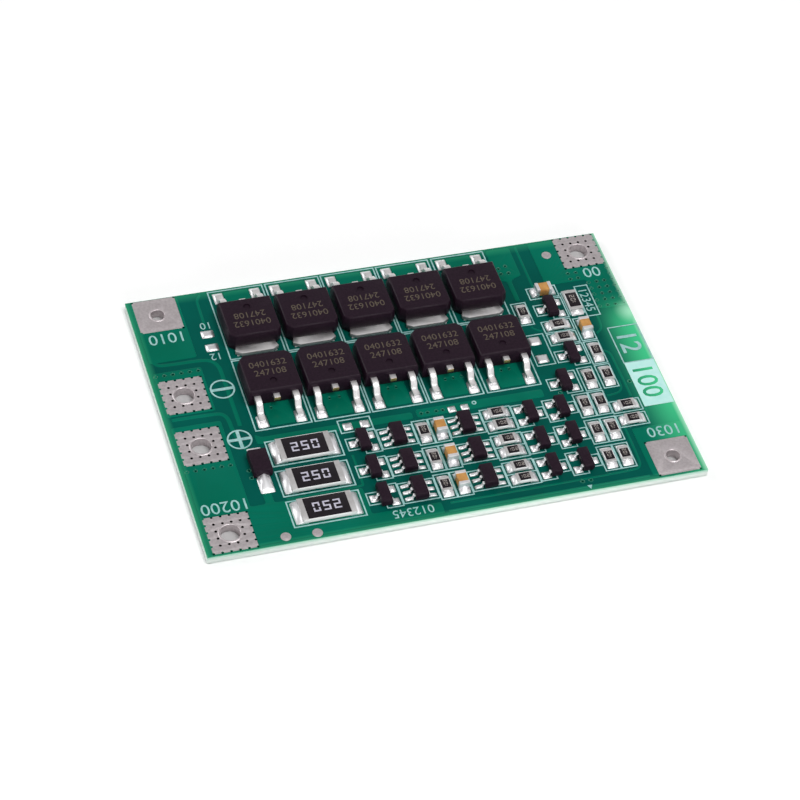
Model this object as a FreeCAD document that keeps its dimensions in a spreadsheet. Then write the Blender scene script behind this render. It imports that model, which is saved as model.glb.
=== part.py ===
import FreeCAD
import Part
import Sketcher
import os

# Battery management board for a three-cell lithium pack.
# A bare laminate carries six square through-plated wire terminals, two rows of five power transistors that
# share one footprint, three wire-wound-value balance resistors, and three like channels of small parts.
# Millimetres, +Z up. The origin is at the middle of the outline, on the plane that the bottom lands rest on.

doc = FreeCAD.newDocument("battery_management_board")
sheet = doc.addObject("Spreadsheet::Sheet", "sizes")

# Driving sizes: alias, value, what it measures
SIZES = [
    # Laminate and the metal on it
    ("board_thickness", 1.0, "laminate between its copper faces"),
    ("land_thickness", 0.08, "tinned copper land, above the laminate"),
    ("edge_margin", 0.72, "left edge to the left terminals"),
    ("label_strip", 4.21, "bare strip right of the last resistors"),
    ("silk_clearance", 0.25, "land to the middle of the line printed round it"),
    ("court_gap", 0.12, "between the outlines of neighbours in a channel"),
    # Wire terminals
    ("terminal_side", 5.25, "square land of a terminal"),
    ("wire_bore", 2.3, "plated hole for a pack or output wire"),
    ("tap_bore", 1.6, "plated hole for a cell tap wire"),
    ("barrel_wall", 0.18, "plating of the hole, with the solder left in it"),
    ("top_margin", 0.12, "top edge to the upper terminals"),
    ("bottom_margin", 0.27, "bottom edge to the lower terminals"),
    ("right_margin", 0.38, "right edge to the heavy terminal"),
    ("tap_margin", 0.72, "right edge to the tap terminal"),
    ("output_row", 16.0, "bottom edge to the middle of the positive output"),
    ("output_spacing", 8.03, "between the two output terminals"),
    # Power transistor: moulded body
    ("mould_width", 6.6, "body across the leads"),
    ("mould_length", 6.1, "body along the leads"),
    ("mould_height", 2.3, "underside to top"),
    ("mould_corner", 0.7, "chamfer of the two corners at the tab"),
    ("mould_draft", 7.0, "draft of the side faces, degrees"),
    ("mould_bevel", 0.12, "bevel of the top edges"),
    # Power transistor: drain plate with its tab and cut-off centre lead
    ("tab_length", 1.1, "tab beyond the body"),
    ("tab_width", 5.3, "tab at its widest"),
    ("tab_neck", 4.9, "plate where it leaves the body"),
    ("tab_corner_width", 0.75, "cut corner of the tab, across"),
    ("tab_corner_depth", 0.45, "cut corner of the tab, along"),
    ("plate_thickness", 0.5, "drain plate"),
    ("plate_length", 5.2, "drain plate, tab included"),
    ("strap_run", 0.9, "rise from the plate to the centre lead, along"),
    ("stub_length", 0.6, "cut-off centre lead beyond the body"),
    # Power transistor: formed gate and source leads
    ("lead_spread", 4.57, "between the middles of the outer leads"),
    ("lead_width", 0.76, "outer lead and centre stub"),
    ("lead_thickness", 0.5, "lead strip"),
    ("lead_height", 1.05, "underside of a lead where it leaves the body"),
    ("lead_shoulder", 1.15, "straight run before the first bend"),
    ("lead_angle", 62.0, "slope of the leg, degrees"),
    ("lead_reach", 2.74, "body to the end of the foot"),
    ("lead_root", 0.9, "lead held inside the body"),
    ("lead_bend", 0.2, "inside radius of both bends"),
    # Power transistor: lands and spacing
    ("foot_land_length", 1.8, "land under a foot, along"),
    ("foot_land_width", 1.3, "land under a foot, across"),
    ("foot_land_reach", 0.75, "land beyond the end of the foot"),
    ("tab_land_length", 6.0, "land under the plate, along"),
    ("tab_land_width", 5.7, "land under the plate, across"),
    ("tab_land_reach", 0.15, "land beyond the end of the tab"),
    ("power_gap", 0.47, "between bodies of one row"),
    ("power_row_gap", 0.71, "between the tab ends of the two rows"),
    ("power_base", 18.0, "bottom edge to the feet of the lower row"),
    ("foot_margin", 1.41, "feet of the upper row to the top edge"),
    ("aisle", 4.18, "left terminals to the first body"),
    # Balance resistor
    ("balance_length", 6.35, "over the end terminals"),
    ("balance_width", 3.2, "ceramic, across"),
    ("balance_height", 0.6, "over the end terminals"),
    ("balance_band", 0.65, "wrap of an end terminal"),
    ("balance_land_reach", 4.0, "middle to the outer end of a land"),
    ("balance_land_length", 1.6, "land, along"),
    ("balance_land_width", 3.3, "land, across"),
    ("balance_row", 3.95, "bottom edge to the first resistor"),
    ("balance_pitch", 4.6, "resistor to resistor"),
    ("balance_aisle", 4.62, "left terminals to the first outline"),
    # Chip resistors and capacitors
    ("chip_length", 2.0, "small chip over its end terminals"),
    ("chip_width", 1.25, "small chip, across"),
    ("chip_height", 0.5, "resistor over its end terminals"),
    ("chip_band", 0.35, "wrap of an end terminal"),
    ("chip_land_reach", 1.6, "middle to the outer end of a land"),
    ("chip_land_length", 1.0, "land, along"),
    ("chip_land_width", 1.35, "land, across"),
    ("long_chip_length", 3.2, "longer resistor over its end terminals"),
    ("long_chip_width", 1.6, "longer resistor, across"),
    ("long_chip_height", 0.55, "longer resistor over its end terminals"),
    ("long_chip_band", 0.45, "wrap of its end terminal"),
    ("long_land_reach", 2.15, "middle to the outer end of its land"),
    ("long_land_length", 1.05, "its land, along"),
    ("long_land_width", 1.6, "its land, across"),
    ("capacitor_height", 1.15, "capacitor over its end cups"),
    ("capacitor_band", 0.42, "depth of an end cup"),
    ("plating", 0.04, "metal of the end terminals and cups"),
    ("glaze_margin", 0.09, "ceramic left bare beside the glaze"),
    # Three-lead transistor
    ("small_length", 2.9, "body along the row of leads"),
    ("small_width", 1.3, "body between the rows of leads"),
    ("small_height", 1.05, "underside of the feet to the top"),
    ("small_pitch", 1.9, "between the two leads of one side"),
    ("small_lead_width", 0.42, "lead strip, across"),
    ("small_lead_reach", 0.55, "body to the end of the foot"),
    ("small_land_reach", 1.65, "middle to the outer end of a land"),
    ("small_land_length", 1.0, "land, along the lead"),
    ("small_land_width", 1.0, "land, across the lead"),
    # Six-lead controller
    ("control_length", 2.9, "body along the row of leads"),
    ("control_width", 1.6, "body between the rows of leads"),
    ("control_height", 1.15, "underside of the feet to the top"),
    ("control_pitch", 0.95, "lead to lead"),
    ("control_lead_width", 0.4, "lead strip, across"),
    ("control_lead_reach", 0.6, "body to the end of the foot"),
    ("control_land_reach", 1.9, "middle to the outer end of a land"),
    ("control_land_length", 1.0, "land, along the lead"),
    ("control_land_width", 0.6, "land, across the lead"),
    # Form shared by the leads of the small packages
    ("small_strip", 0.13, "thickness of a small lead"),
    ("small_exit", 0.5, "underside of a small lead at the body"),
    ("small_shoulder", 0.16, "straight run before the first bend"),
    ("small_angle", 78.0, "slope of a small leg, degrees"),
    ("small_root", 0.3, "small lead held inside the body"),
    ("small_standoff", 0.08, "feet to the underside of the body"),
    ("small_draft", 6.0, "draft of a small body, degrees"),
    # Flat diode
    ("diode_length", 3.4, "body along the leads"),
    ("diode_width", 2.3, "body across the leads"),
    ("diode_height", 1.2, "underside to top"),
    ("diode_lead_width", 1.4, "lead, across"),
    ("diode_lead_thickness", 0.2, "lead strip"),
    ("diode_lead_reach", 0.95, "body to the end of a lead"),
    ("diode_lead_root", 0.5, "lead held inside the body"),
    ("diode_parting", 0.55, "mould line above the underside"),
    ("diode_land_width", 1.7, "land, across"),
    ("diode_land_length", 2.0, "land under the near lead, along"),
    ("diode_land_reach", 1.4, "near land beyond the end of the lead"),
    ("diode_short_land", 0.9, "land under the far lead, along"),
    ("diode_short_reach", 0.12, "far land beyond the end of the lead"),
    ("diode_aisle", 1.95, "left terminals to the diode"),
    ("diode_row", 11.65, "bottom edge to the middle of the diode"),
    # Channels of small parts
    ("channel_row", 4.2, "bottom edge to the first channel"),
    ("channel_pitch", 4.2, "channel to channel"),
    ("channel_gap", 0.7, "balance resistor outline to the first transistor outline"),
    ("end_pair_row", 10.38, "bottom edge to the middle of the last two resistors"),
    ("end_pair_spacing", 2.24, "between those two"),
    # Output stage, right of the power transistors
    ("stage_gap", 0.65, "last power body to the first outline"),
    ("stage_aisle", 0.85, "first column to the second"),
    ("stage_lane", 0.42, "between outlines in the lowest row"),
    ("stage_row_gap", 0.25, "between outlines in a column"),
    ("stage_top", 7.7, "top edge to the second column"),
    ("shunt_rise", 0.45, "longer resistor above the middle of the transistor beside it"),
    ("stage_chip_row", 28.35, "bottom edge to the chip of the first column"),
    # Bare lands and test points
    ("link_aisle", 2.43, "left terminals to the middle of the link lands"),
    ("link_row", 31.9, "bottom edge to the middle of the link lands"),
    ("link_spacing", 2.22, "between the link lands"),
    ("link_land_length", 1.15, "link land, along the pair"),
    ("link_land_width", 1.55, "link land, across"),
    ("spare_row", 15.35, "bottom edge to the two spare pairs above the channels"),
    ("spare_spacing", 2.07, "between the lands of the left pair"),
    ("spare_land", 1.12, "side of its lands"),
    ("probe_spacing", 1.6, "between the lands of the right pair"),
    ("probe_land", 0.95, "side of its lands"),
    ("empty_row", 22.28, "bottom edge to the empty place beside the transistors"),
    ("empty_spacing", 2.97, "between its lands"),
    ("empty_land_length", 1.3, "its land, along the pair"),
    ("empty_land_width", 1.45, "its land, across"),
    ("test_point", 1.2, "diameter of a round test point"),
    ("first_test_inset", 9.27, "left edge to the first test point"),
    ("first_test_row", 1.0, "bottom edge to the first test point"),
    ("second_test_inset", 12.9, "left edge to the second test point"),
    ("second_test_row", 0.78, "bottom edge to the second test point"),
    ("third_test_inset", 7.17, "right edge to the third test point"),
    ("third_test_row", 2.59, "top edge to the third test point"),
]

for row, (alias, value, note) in enumerate(SIZES, start=1):
    sheet.set(f"A{row}", alias)
    sheet.set(f"B{row}", str(value))
    sheet.set(f"C{row}", note)
    sheet.setAlias(f"B{row}", alias)
doc.recompute()

POWER_COLUMNS = 5
CHANNELS = 3
UP = FreeCAD.Vector(0, 0, 1)


# Sketches and features

def plane_of(body, role):
    return next(item for item in body.Origin.OriginFeatures if item.Role == role)


def sketch_on(body, name, role="XY_Plane", lift=None):
    """A sketch flat on one of the body's own planes, raised by an expression."""
    sketch = body.newObject("Sketcher::SketchObject", name)
    sketch.AttachmentSupport = (plane_of(body, role), [""])
    sketch.MapMode = "FlatFace"
    if lift:
        sketch.setExpression("AttachmentOffset.Base.z", lift)
    return sketch


def pin_down(sketch, element, vertex, x, y):
    """Tie a point of the sketch to its axes, or to distances given by expressions."""
    for axis, kind, expression in ((-2, "DistanceX", x), (-1, "DistanceY", y)):
        distance = float(sketch.evalExpression(expression))
        if abs(distance) < 1e-9:
            sketch.addConstraint(Sketcher.Constraint("PointOnObject", element, vertex, axis))
        else:
            tie = sketch.addConstraint(Sketcher.Constraint(kind, -1, 1, element, vertex, distance))
            sketch.setExpression(f"Constraints[{tie}]", expression)


def outline(sketch, corners):
    """A closed outline of straight lines through corners given as pairs of expressions."""
    points = []
    for x, y in corners:
        points.append(FreeCAD.Vector(float(sketch.evalExpression(x)), float(sketch.evalExpression(y)), 0))
    following = points[1:] + points[:1]
    first = sketch.GeometryCount
    sketch.addGeometry([Part.LineSegment(a, b) for a, b in zip(points, following)], False)
    for index in range(len(points)):
        onward = first + (index + 1) % len(points)
        sketch.addConstraint(Sketcher.Constraint("Coincident", first + index, 2, onward, 1))
    for index, (x, y) in enumerate(corners):
        pin_down(sketch, first + index, 1, x, y)


def rectangle(sketch, length, width):
    """A rectangle centred on the sketch's origin."""
    outline(sketch, [
        (f"-({length}) / 2", f"-({width}) / 2"),
        (f"({length}) / 2", f"-({width}) / 2"),
        (f"({length}) / 2", f"({width}) / 2"),
        (f"-({length}) / 2", f"({width}) / 2"),
    ])


def circle(sketch, diameter, x="0", y="0"):
    """A circle of a given diameter, its middle at expressions x and y."""
    radius = float(sketch.evalExpression(diameter)) / 2
    centre = FreeCAD.Vector(float(sketch.evalExpression(x)), float(sketch.evalExpression(y)), 0)
    ring = sketch.addGeometry(Part.Circle(centre, UP, radius), False)
    size = sketch.addConstraint(Sketcher.Constraint("Diameter", ring, 2 * radius))
    sketch.setExpression(f"Constraints[{size}]", diameter)
    pin_down(sketch, ring, 3, x, y)


def pad(body, name, profile, length, draft=None, downwards=False, both_ways=False):
    feature = body.newObject("PartDesign::Pad", name)
    feature.Profile = profile
    feature.setExpression("Length", length)
    feature.Reversed = downwards
    if both_ways:
        feature.SideType = "Symmetric"
    if draft:
        feature.setExpression("TaperAngle", f"-({draft})")
    return feature


def pocket_through(body, name, profile, upwards=False):
    feature = body.newObject("PartDesign::Pocket", name)
    feature.Profile = profile
    feature.Type = "ThroughAll"
    feature.Reversed = upwards
    return feature


def bevel_edges(body, name, base, edges, size):
    feature = body.newObject("PartDesign::Chamfer", name)
    feature.Base = (base, edges)
    feature.setExpression("Size", size)
    return feature


def cross_edges(body, feature, corners):
    """The straight edges along X that pass through corners of a YZ profile."""
    names = []
    for y, z in corners:
        target = FreeCAD.Vector(0, float(body.evalExpression(y)), float(body.evalExpression(z)))
        for number, edge in enumerate(feature.Shape.Edges, start=1):
            span = edge.BoundBox
            along_x = span.XLength > 1e-4 and span.YLength < 1e-4 and span.ZLength < 1e-4
            if along_x and (FreeCAD.Vector(0, span.YMin, span.ZMin) - target).Length < 1e-4:
                names.append(f"Edge{number}")
    if len(names) != len(corners):
        raise RuntimeError(f"{body.Label}: {len(names)} of {len(corners)} bends found")
    return names


# Plain solids and copies

def box(name, length, width, height, x="0", y="0", z="0"):
    """A block centred on x and y, standing on z."""
    block = doc.addObject("Part::Box", name)
    block.setExpression("Length", length)
    block.setExpression("Width", width)
    block.setExpression("Height", height)
    block.setExpression("Placement.Base.x", f"{x} - ({length}) / 2")
    block.setExpression("Placement.Base.y", f"{y} - ({width}) / 2")
    block.setExpression("Placement.Base.z", z)
    return block


def cut(name, base, tool):
    feature = doc.addObject("Part::Cut", name)
    feature.Base = base
    feature.Tool = tool
    return feature


def group(name, members):
    feature = doc.addObject("Part::Compound", name)
    feature.Links = members
    return feature


def put(name, pattern, x="0", y="0", z="0", turn=0):
    """A copy of a pattern piece, turned about Z and moved to expressions x, y and z."""
    copy = group(name, [pattern])
    copy.Placement = FreeCAD.Placement(FreeCAD.Vector(), FreeCAD.Rotation(UP, turn))
    copy.setExpression("Placement.Base.x", x)
    copy.setExpression("Placement.Base.y", y)
    copy.setExpression("Placement.Base.z", z)
    return copy


# Levels, from the plane that the bottom lands rest on
LAMINATE_BASE = "sizes.land_thickness"
LAMINATE_TOP = "sizes.land_thickness + sizes.board_thickness"
SEAT = "2 * sizes.land_thickness + sizes.board_thickness"


# Places, each a point measured from the lower left corner of the board

def spot(name, x, y):
    point = doc.addObject("Part::Vertex", name)
    point.setExpression("X", x)
    point.setExpression("Y", y)
    return name


def x_of(place):
    return f"{place}.X / 1 mm"


def y_of(place):
    return f"{place}.Y / 1 mm"


def beside(before, half_before, half_after, gap="sizes.court_gap"):
    """The X of a place whose outline follows the one before it."""
    return f"{x_of(before)} + {half_before} + {gap} + {half_after}"


CHIP_HALF_LENGTH = "(sizes.chip_land_reach + sizes.silk_clearance)"
CHIP_HALF_WIDTH = "(sizes.chip_land_width / 2 + sizes.silk_clearance)"
LONG_HALF_LENGTH = "(sizes.long_land_reach + sizes.silk_clearance)"
SMALL_HALF_LENGTH = "(sizes.small_land_reach + sizes.silk_clearance)"
SMALL_HALF_WIDTH = "((sizes.small_pitch + sizes.small_land_width) / 2 + sizes.silk_clearance)"
CONTROL_HALF_LENGTH = "(sizes.control_land_reach + sizes.silk_clearance)"
BALANCE_HALF_LENGTH = "(sizes.balance_land_reach + sizes.silk_clearance)"
LEFT_TERMINALS = "sizes.edge_margin + sizes.terminal_side"
POWER_END = "(sizes.mould_length / 2 + sizes.tab_length)"

# Columns of the channels, from left to right
spot("column_balance", f"{LEFT_TERMINALS} + sizes.balance_aisle + {BALANCE_HALF_LENGTH}", "0")
spot("column_balance_switch",
     beside("column_balance", BALANCE_HALF_LENGTH, SMALL_HALF_LENGTH, "sizes.channel_gap"), "0")
spot("column_balancer", beside("column_balance_switch", SMALL_HALF_LENGTH, CONTROL_HALF_LENGTH), "0")
spot("column_sense", beside("column_balancer", CONTROL_HALF_LENGTH, CHIP_HALF_WIDTH), "0")
spot("column_filter", beside("column_sense", CHIP_HALF_WIDTH, CHIP_HALF_WIDTH), "0")
spot("column_guard", beside("column_filter", CHIP_HALF_WIDTH, CONTROL_HALF_LENGTH), "0")
spot("column_stack", beside("column_guard", CONTROL_HALF_LENGTH, CHIP_HALF_LENGTH), "0")
spot("column_first_shifter", beside("column_stack", CHIP_HALF_LENGTH, SMALL_HALF_LENGTH), "0")
spot("column_second_shifter", beside("column_first_shifter", SMALL_HALF_LENGTH, SMALL_HALF_LENGTH), "0")
spot("column_first_pull", beside("column_second_shifter", SMALL_HALF_LENGTH, CHIP_HALF_WIDTH), "0")
spot("column_second_pull", beside("column_first_pull", CHIP_HALF_WIDTH, CHIP_HALF_WIDTH), "0")
spot("column_end_pair", beside("column_second_pull", CHIP_HALF_WIDTH, CHIP_HALF_LENGTH), "0")

# The two rows of power transistors, and with them the outline of the board
FIRST_POWER = f"{LEFT_TERMINALS} + sizes.aisle + sizes.mould_width / 2"
POWER_PITCH = "(sizes.mould_width + sizes.power_gap)"
spot("power_lower", FIRST_POWER, "sizes.power_base + sizes.lead_reach + sizes.mould_length / 2")
spot("power_upper", FIRST_POWER, f"{y_of('power_lower')} + 2 * {POWER_END} + sizes.power_row_gap")
BOARD_LENGTH = f"({x_of('column_end_pair')} + {CHIP_HALF_LENGTH} + sizes.label_strip)"
BOARD_WIDTH = f"({y_of('power_upper')} + sizes.mould_length / 2 + sizes.lead_reach + sizes.foot_margin)"
spot("middle", f"{BOARD_LENGTH} / 2", f"{BOARD_WIDTH} / 2")

# Terminals
TERMINAL_HALF = "sizes.terminal_side / 2"
LEFT_COLUMN = f"sizes.edge_margin + {TERMINAL_HALF}"
TOP_ROW = f"{BOARD_WIDTH} - sizes.top_margin - {TERMINAL_HALF}"
BOTTOM_ROW = f"sizes.bottom_margin + {TERMINAL_HALF}"
TERMINALS = [
    (spot("at_lower_tap", LEFT_COLUMN, TOP_ROW), "lower_tap_terminal", "tap"),
    (spot("at_output_negative", LEFT_COLUMN, "sizes.output_row + sizes.output_spacing"),
     "output_negative_terminal", "wire"),
    (spot("at_output_positive", LEFT_COLUMN, "sizes.output_row"), "output_positive_terminal", "wire"),
    (spot("at_battery_positive", LEFT_COLUMN, BOTTOM_ROW), "battery_positive_terminal", "wire"),
    (spot("at_battery_negative", f"{BOARD_LENGTH} - sizes.right_margin - {TERMINAL_HALF}", TOP_ROW),
     "battery_negative_terminal", "wire"),
    (spot("at_upper_tap", f"{BOARD_LENGTH} - sizes.tap_margin - {TERMINAL_HALF}", BOTTOM_ROW),
     "upper_tap_terminal", "tap"),
]

# Output stage, three columns right of the power transistors
spot("stage_first",
     f"{x_of('power_lower')} + {POWER_COLUMNS - 1} * {POWER_PITCH} + sizes.mould_width / 2"
     f" + sizes.stage_gap + {CHIP_HALF_WIDTH}", "sizes.stage_chip_row")
spot("stage_filter", beside("stage_first", CHIP_HALF_WIDTH, CHIP_HALF_LENGTH, "sizes.stage_aisle"),
     f"{BOARD_WIDTH} - sizes.stage_top - {CHIP_HALF_WIDTH}")


def below(name, before, half_before, half_after):
    """A place in the same column, one outline further down."""
    return spot(name, x_of(before), f"{y_of(before)} - {half_before} - sizes.stage_row_gap - {half_after}")


below("stage_upper_switch", "stage_filter", CHIP_HALF_WIDTH, SMALL_HALF_WIDTH)
below("stage_upper_pull", "stage_upper_switch", SMALL_HALF_WIDTH, CHIP_HALF_WIDTH)
below("stage_lower_pull", "stage_upper_pull", CHIP_HALF_WIDTH, CHIP_HALF_WIDTH)
below("stage_lower_switch", "stage_lower_pull", CHIP_HALF_WIDTH, SMALL_HALF_WIDTH)
spot("stage_shunt", beside("stage_filter", SMALL_HALF_LENGTH, CHIP_HALF_WIDTH, "sizes.stage_row_gap"),
     f"{y_of('stage_upper_switch')} + sizes.shunt_rise")
below("stage_delay", "stage_shunt", LONG_HALF_LENGTH, CHIP_HALF_LENGTH)
below("stage_bleed", "stage_delay", CHIP_HALF_LENGTH, CHIP_HALF_LENGTH)
below("stage_gate", "stage_bleed", CHIP_HALF_LENGTH, CHIP_HALF_LENGTH)
spot("stage_gate_pull", f"{x_of('stage_gate')} - 2 * {CHIP_HALF_WIDTH} - sizes.stage_lane",
     y_of("stage_gate"))
spot("stage_driver",
     f"{x_of('stage_gate_pull')} - {CHIP_HALF_WIDTH} - sizes.stage_lane - {SMALL_HALF_LENGTH}",
     y_of("stage_gate"))


def channel_row(channel):
    return f"sizes.channel_row + {channel} * sizes.channel_pitch"


def on_board(place, offset_x="0", offset_y="0", row=None):
    """The model's X and Y for a place, moved by offsets; a row replaces the place's own Y."""
    x = f"{x_of(place)} - {x_of('middle')} + {offset_x}"
    return x, f"{row or y_of(place)} - {y_of('middle')} + {offset_y}"


nodes = []


def keep(feature, label):
    """Name a finished sub-part; its label names its file."""
    feature.Label = label
    nodes.append(feature)
    return feature


# Laminate: a sawn rectangle with sharp corners, drilled for the barrels of the six terminals
board = doc.addObject("PartDesign::Body", "laminate")
board_plan = sketch_on(board, "board_plan", lift=LAMINATE_BASE)
rectangle(board_plan, BOARD_LENGTH, BOARD_WIDTH)
blank = pad(board, "blank", board_plan, "sizes.board_thickness")
doc.recompute()
drilling = sketch_on(board, "drilling", lift=LAMINATE_BASE)
for place, label, kind in TERMINALS:
    circle(drilling, f"sizes.{kind}_bore + 2 * sizes.barrel_wall", *on_board(place))
drilled = pocket_through(board, "drilled", drilling, upwards=True)
doc.recompute()
if drilled.Shape.Volume >= blank.Shape.Volume:
    raise RuntimeError("the laminate was not drilled")
keep(board, "circuit_board")


# Terminals: a square land on each face, joined by the plated barrel of the wire hole

def terminal(name, bore):
    body = doc.addObject("PartDesign::Body", name)
    for level, lift in (("bottom", "0"), ("top", LAMINATE_TOP)):
        square = sketch_on(body, f"{name}_{level}", lift=lift)
        rectangle(square, "sizes.terminal_side", "sizes.terminal_side")
        if level == "top":
            break
        pad(body, f"{name}_{level}_land", square, "sizes.land_thickness")
        barrel = sketch_on(body, f"{name}_barrel")
        circle(barrel, f"{bore} + 2 * sizes.barrel_wall")
        pad(body, f"{name}_barrel_pad", barrel, SEAT)
    whole = pad(body, f"{name}_top_land", square, "sizes.land_thickness")
    doc.recompute()
    hole = sketch_on(body, f"{name}_hole")
    circle(hole, bore)
    bored = pocket_through(body, f"{name}_bore", hole, upwards=True)
    doc.recompute()
    if bored.Shape.Volume >= whole.Shape.Volume:
        raise RuntimeError(f"{name} was not bored")
    return body


terminal_patterns = {
    "wire": terminal("wire_terminal", "sizes.wire_bore"),
    "tap": terminal("tap_terminal", "sizes.tap_bore"),
}
for place, label, kind in TERMINALS:
    keep(put(f"placed_{label}", terminal_patterns[kind], *on_board(place)), label)


# Formed lead: a strip that leaves the body level, bends down a steep leg and ends in a flat foot.
# It points along +Y from the body face, and its foot stands on Z = 0. Each bend is a flat across the corner,
# as long as the rounding it stands for.

def formed_lead(name, face, root, height, strip, width, shoulder, angle, reach, bend=None):
    """Without a bend radius the folds stay sharp, as on strips thinner than their folds can show."""
    body = doc.addObject("PartDesign::Body", name)
    top = f"{height} + {strip}"
    first = f"{face} + {shoulder}"
    second = f"{first} + {height} / tan({angle} * 1 deg)"
    mitre = f"{strip} * tan({angle} * 0.5 deg)"
    profile = sketch_on(body, f"{name}_profile", "YZ_Plane")
    outline(profile, [
        (f"{face} - {root}", height),
        (f"{first} - {mitre}", height),
        (f"{second} - {mitre}", "0"),
        (f"{face} + {reach}", "0"),
        (f"{face} + {reach}", strip),
        (second, strip),
        (first, top),
        (f"{face} - {root}", top),
    ])
    strip_pad = pad(body, f"{name}_strip", profile, width, both_ways=True)
    doc.recompute()
    if not bend:
        return body
    share = f"tan({angle} * 0.5 deg)"
    inside = cross_edges(body, strip_pad, [(f"{first} - {mitre}", height), (second, strip)])
    inner = bevel_edges(body, f"{name}_inside", strip_pad, inside, f"{bend} * {share}")
    doc.recompute()
    outside = cross_edges(body, inner, [(first, top), (f"{second} - {mitre}", "0")])
    bevel_edges(body, f"{name}_outside", inner, outside, f"({bend} + {strip}) * {share}")
    return body


# Moulded body with draft above and below its mould line, and a plan given by corners

def moulded(name, corners, bottom, parting, top, draft):
    body = doc.addObject("PartDesign::Body", name)
    for half, length, downwards in (("upper", f"{top} - ({parting})", False),
                                    ("lower", f"{parting} - ({bottom})", True)):
        plan = sketch_on(body, f"{name}_{half}_plan", lift=parting)
        outline(plan, corners)
        finished = pad(body, f"{name}_{half}", plan, length, draft, downwards)
    doc.recompute()
    return body, finished


def block_plan(width, length):
    return [
        (f"-{width} / 2", f"-{length} / 2"),
        (f"{width} / 2", f"-{length} / 2"),
        (f"{width} / 2", f"{length} / 2"),
        (f"-{width} / 2", f"{length} / 2"),
    ]


# Power transistor, its tab towards -Y and its leads towards +Y, standing on Z = 0
HALF_WIDTH = "sizes.mould_width / 2"
HALF_LENGTH = "sizes.mould_length / 2"
power_mould, mould_faces = moulded(
    "power_mould",
    [
        (f"-({HALF_WIDTH} - sizes.mould_corner)", f"-{HALF_LENGTH}"),
        (f"{HALF_WIDTH} - sizes.mould_corner", f"-{HALF_LENGTH}"),
        (HALF_WIDTH, f"-({HALF_LENGTH} - sizes.mould_corner)"),
        (HALF_WIDTH, HALF_LENGTH),
        (f"-{HALF_WIDTH}", HALF_LENGTH),
        (f"-{HALF_WIDTH}", f"-({HALF_LENGTH} - sizes.mould_corner)"),
    ],
    "0", "sizes.lead_height", "sizes.mould_height", "sizes.mould_draft")
crown = float(sheet.get("mould_height"))
crown_edges = []
for number, edge in enumerate(mould_faces.Shape.Edges, start=1):
    if edge.BoundBox.ZMin > crown - 1e-4:
        crown_edges.append(f"Edge{number}")
bevel_edges(power_mould, "power_mould_bevel", mould_faces, crown_edges, "sizes.mould_bevel")
doc.recompute()

# Drain: one stamping, from the tab along the plate and up a strap to the cut-off centre lead
drain = doc.addObject("PartDesign::Body", "drain")
drain_plan = sketch_on(drain, "drain_plan")
TAB_END = f"-{POWER_END}"
PLATE_END = f"{TAB_END} + sizes.plate_length"
TAB_SHOULDER = f"{TAB_END} + sizes.tab_corner_depth"
right_side = [
    ("sizes.tab_width / 2 - sizes.tab_corner_width", TAB_END),
    ("sizes.tab_width / 2", TAB_SHOULDER),
    ("sizes.tab_neck / 2", f"-{HALF_LENGTH}"),
    ("sizes.tab_neck / 2", PLATE_END),
]
outline(drain_plan, right_side + [(f"-({x})", y) for x, y in reversed(right_side)])
pad(drain, "drain_plate", drain_plan, "sizes.plate_thickness")
strap = sketch_on(drain, "drain_strap_profile", "YZ_Plane")
STUB_TOP = "sizes.lead_height + sizes.lead_thickness"
STRAP_LEAN = "sizes.lead_thickness / 2"
outline(strap, [
    (f"{PLATE_END} - sizes.plate_thickness", "0"),
    (PLATE_END, "0"),
    (f"{PLATE_END} + sizes.strap_run", "sizes.lead_height"),
    (f"{HALF_LENGTH} + sizes.stub_length", "sizes.lead_height"),
    (f"{HALF_LENGTH} + sizes.stub_length", STUB_TOP),
    (f"{PLATE_END} + sizes.strap_run - {STRAP_LEAN}", STUB_TOP),
    (f"{PLATE_END} - {STRAP_LEAN}", "sizes.plate_thickness"),
    (f"{PLATE_END} - sizes.plate_thickness", "sizes.plate_thickness"),
])
pad(drain, "drain_strap", strap, "sizes.lead_width", both_ways=True)

power_lead = formed_lead("power_lead", HALF_LENGTH, "sizes.lead_root", "sizes.lead_height",
                         "sizes.lead_thickness", "sizes.lead_width", "sizes.lead_shoulder",
                         "sizes.lead_angle", "sizes.lead_reach", "sizes.lead_bend")
power_frame = group("power_frame", [
    drain,
    put("gate_lead", power_lead, "-sizes.lead_spread / 2"),
    put("source_lead", power_lead, "sizes.lead_spread / 2"),
])
power_body = cut("power_body", power_mould, power_frame)


# Three-lead transistor and six-lead controller: like moulds, with leads on both long sides

def small_package(name, width, length, height, lead_width, reach, near, far):
    """Leads stand at the offsets near on the +Y side and far on the -Y side."""
    mould, _ = moulded(f"{name}_mould", block_plan(length, width), "sizes.small_standoff",
                       "sizes.small_exit + sizes.small_strip / 2", height, "sizes.small_draft")
    lead = formed_lead(f"{name}_lead", f"{width} / 2", "sizes.small_root", "sizes.small_exit",
                       "sizes.small_strip", lead_width, "sizes.small_shoulder", "sizes.small_angle",
                       reach)
    leads = []
    for number, offset in enumerate(near, start=1):
        leads.append(put(f"{name}_near_lead_{number}", lead, offset))
    for number, offset in enumerate(far, start=1):
        leads.append(put(f"{name}_far_lead_{number}", lead, offset, turn=180))
    frame = group(f"{name}_frame", leads)
    return cut(f"{name}_body", mould, frame), frame


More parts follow.
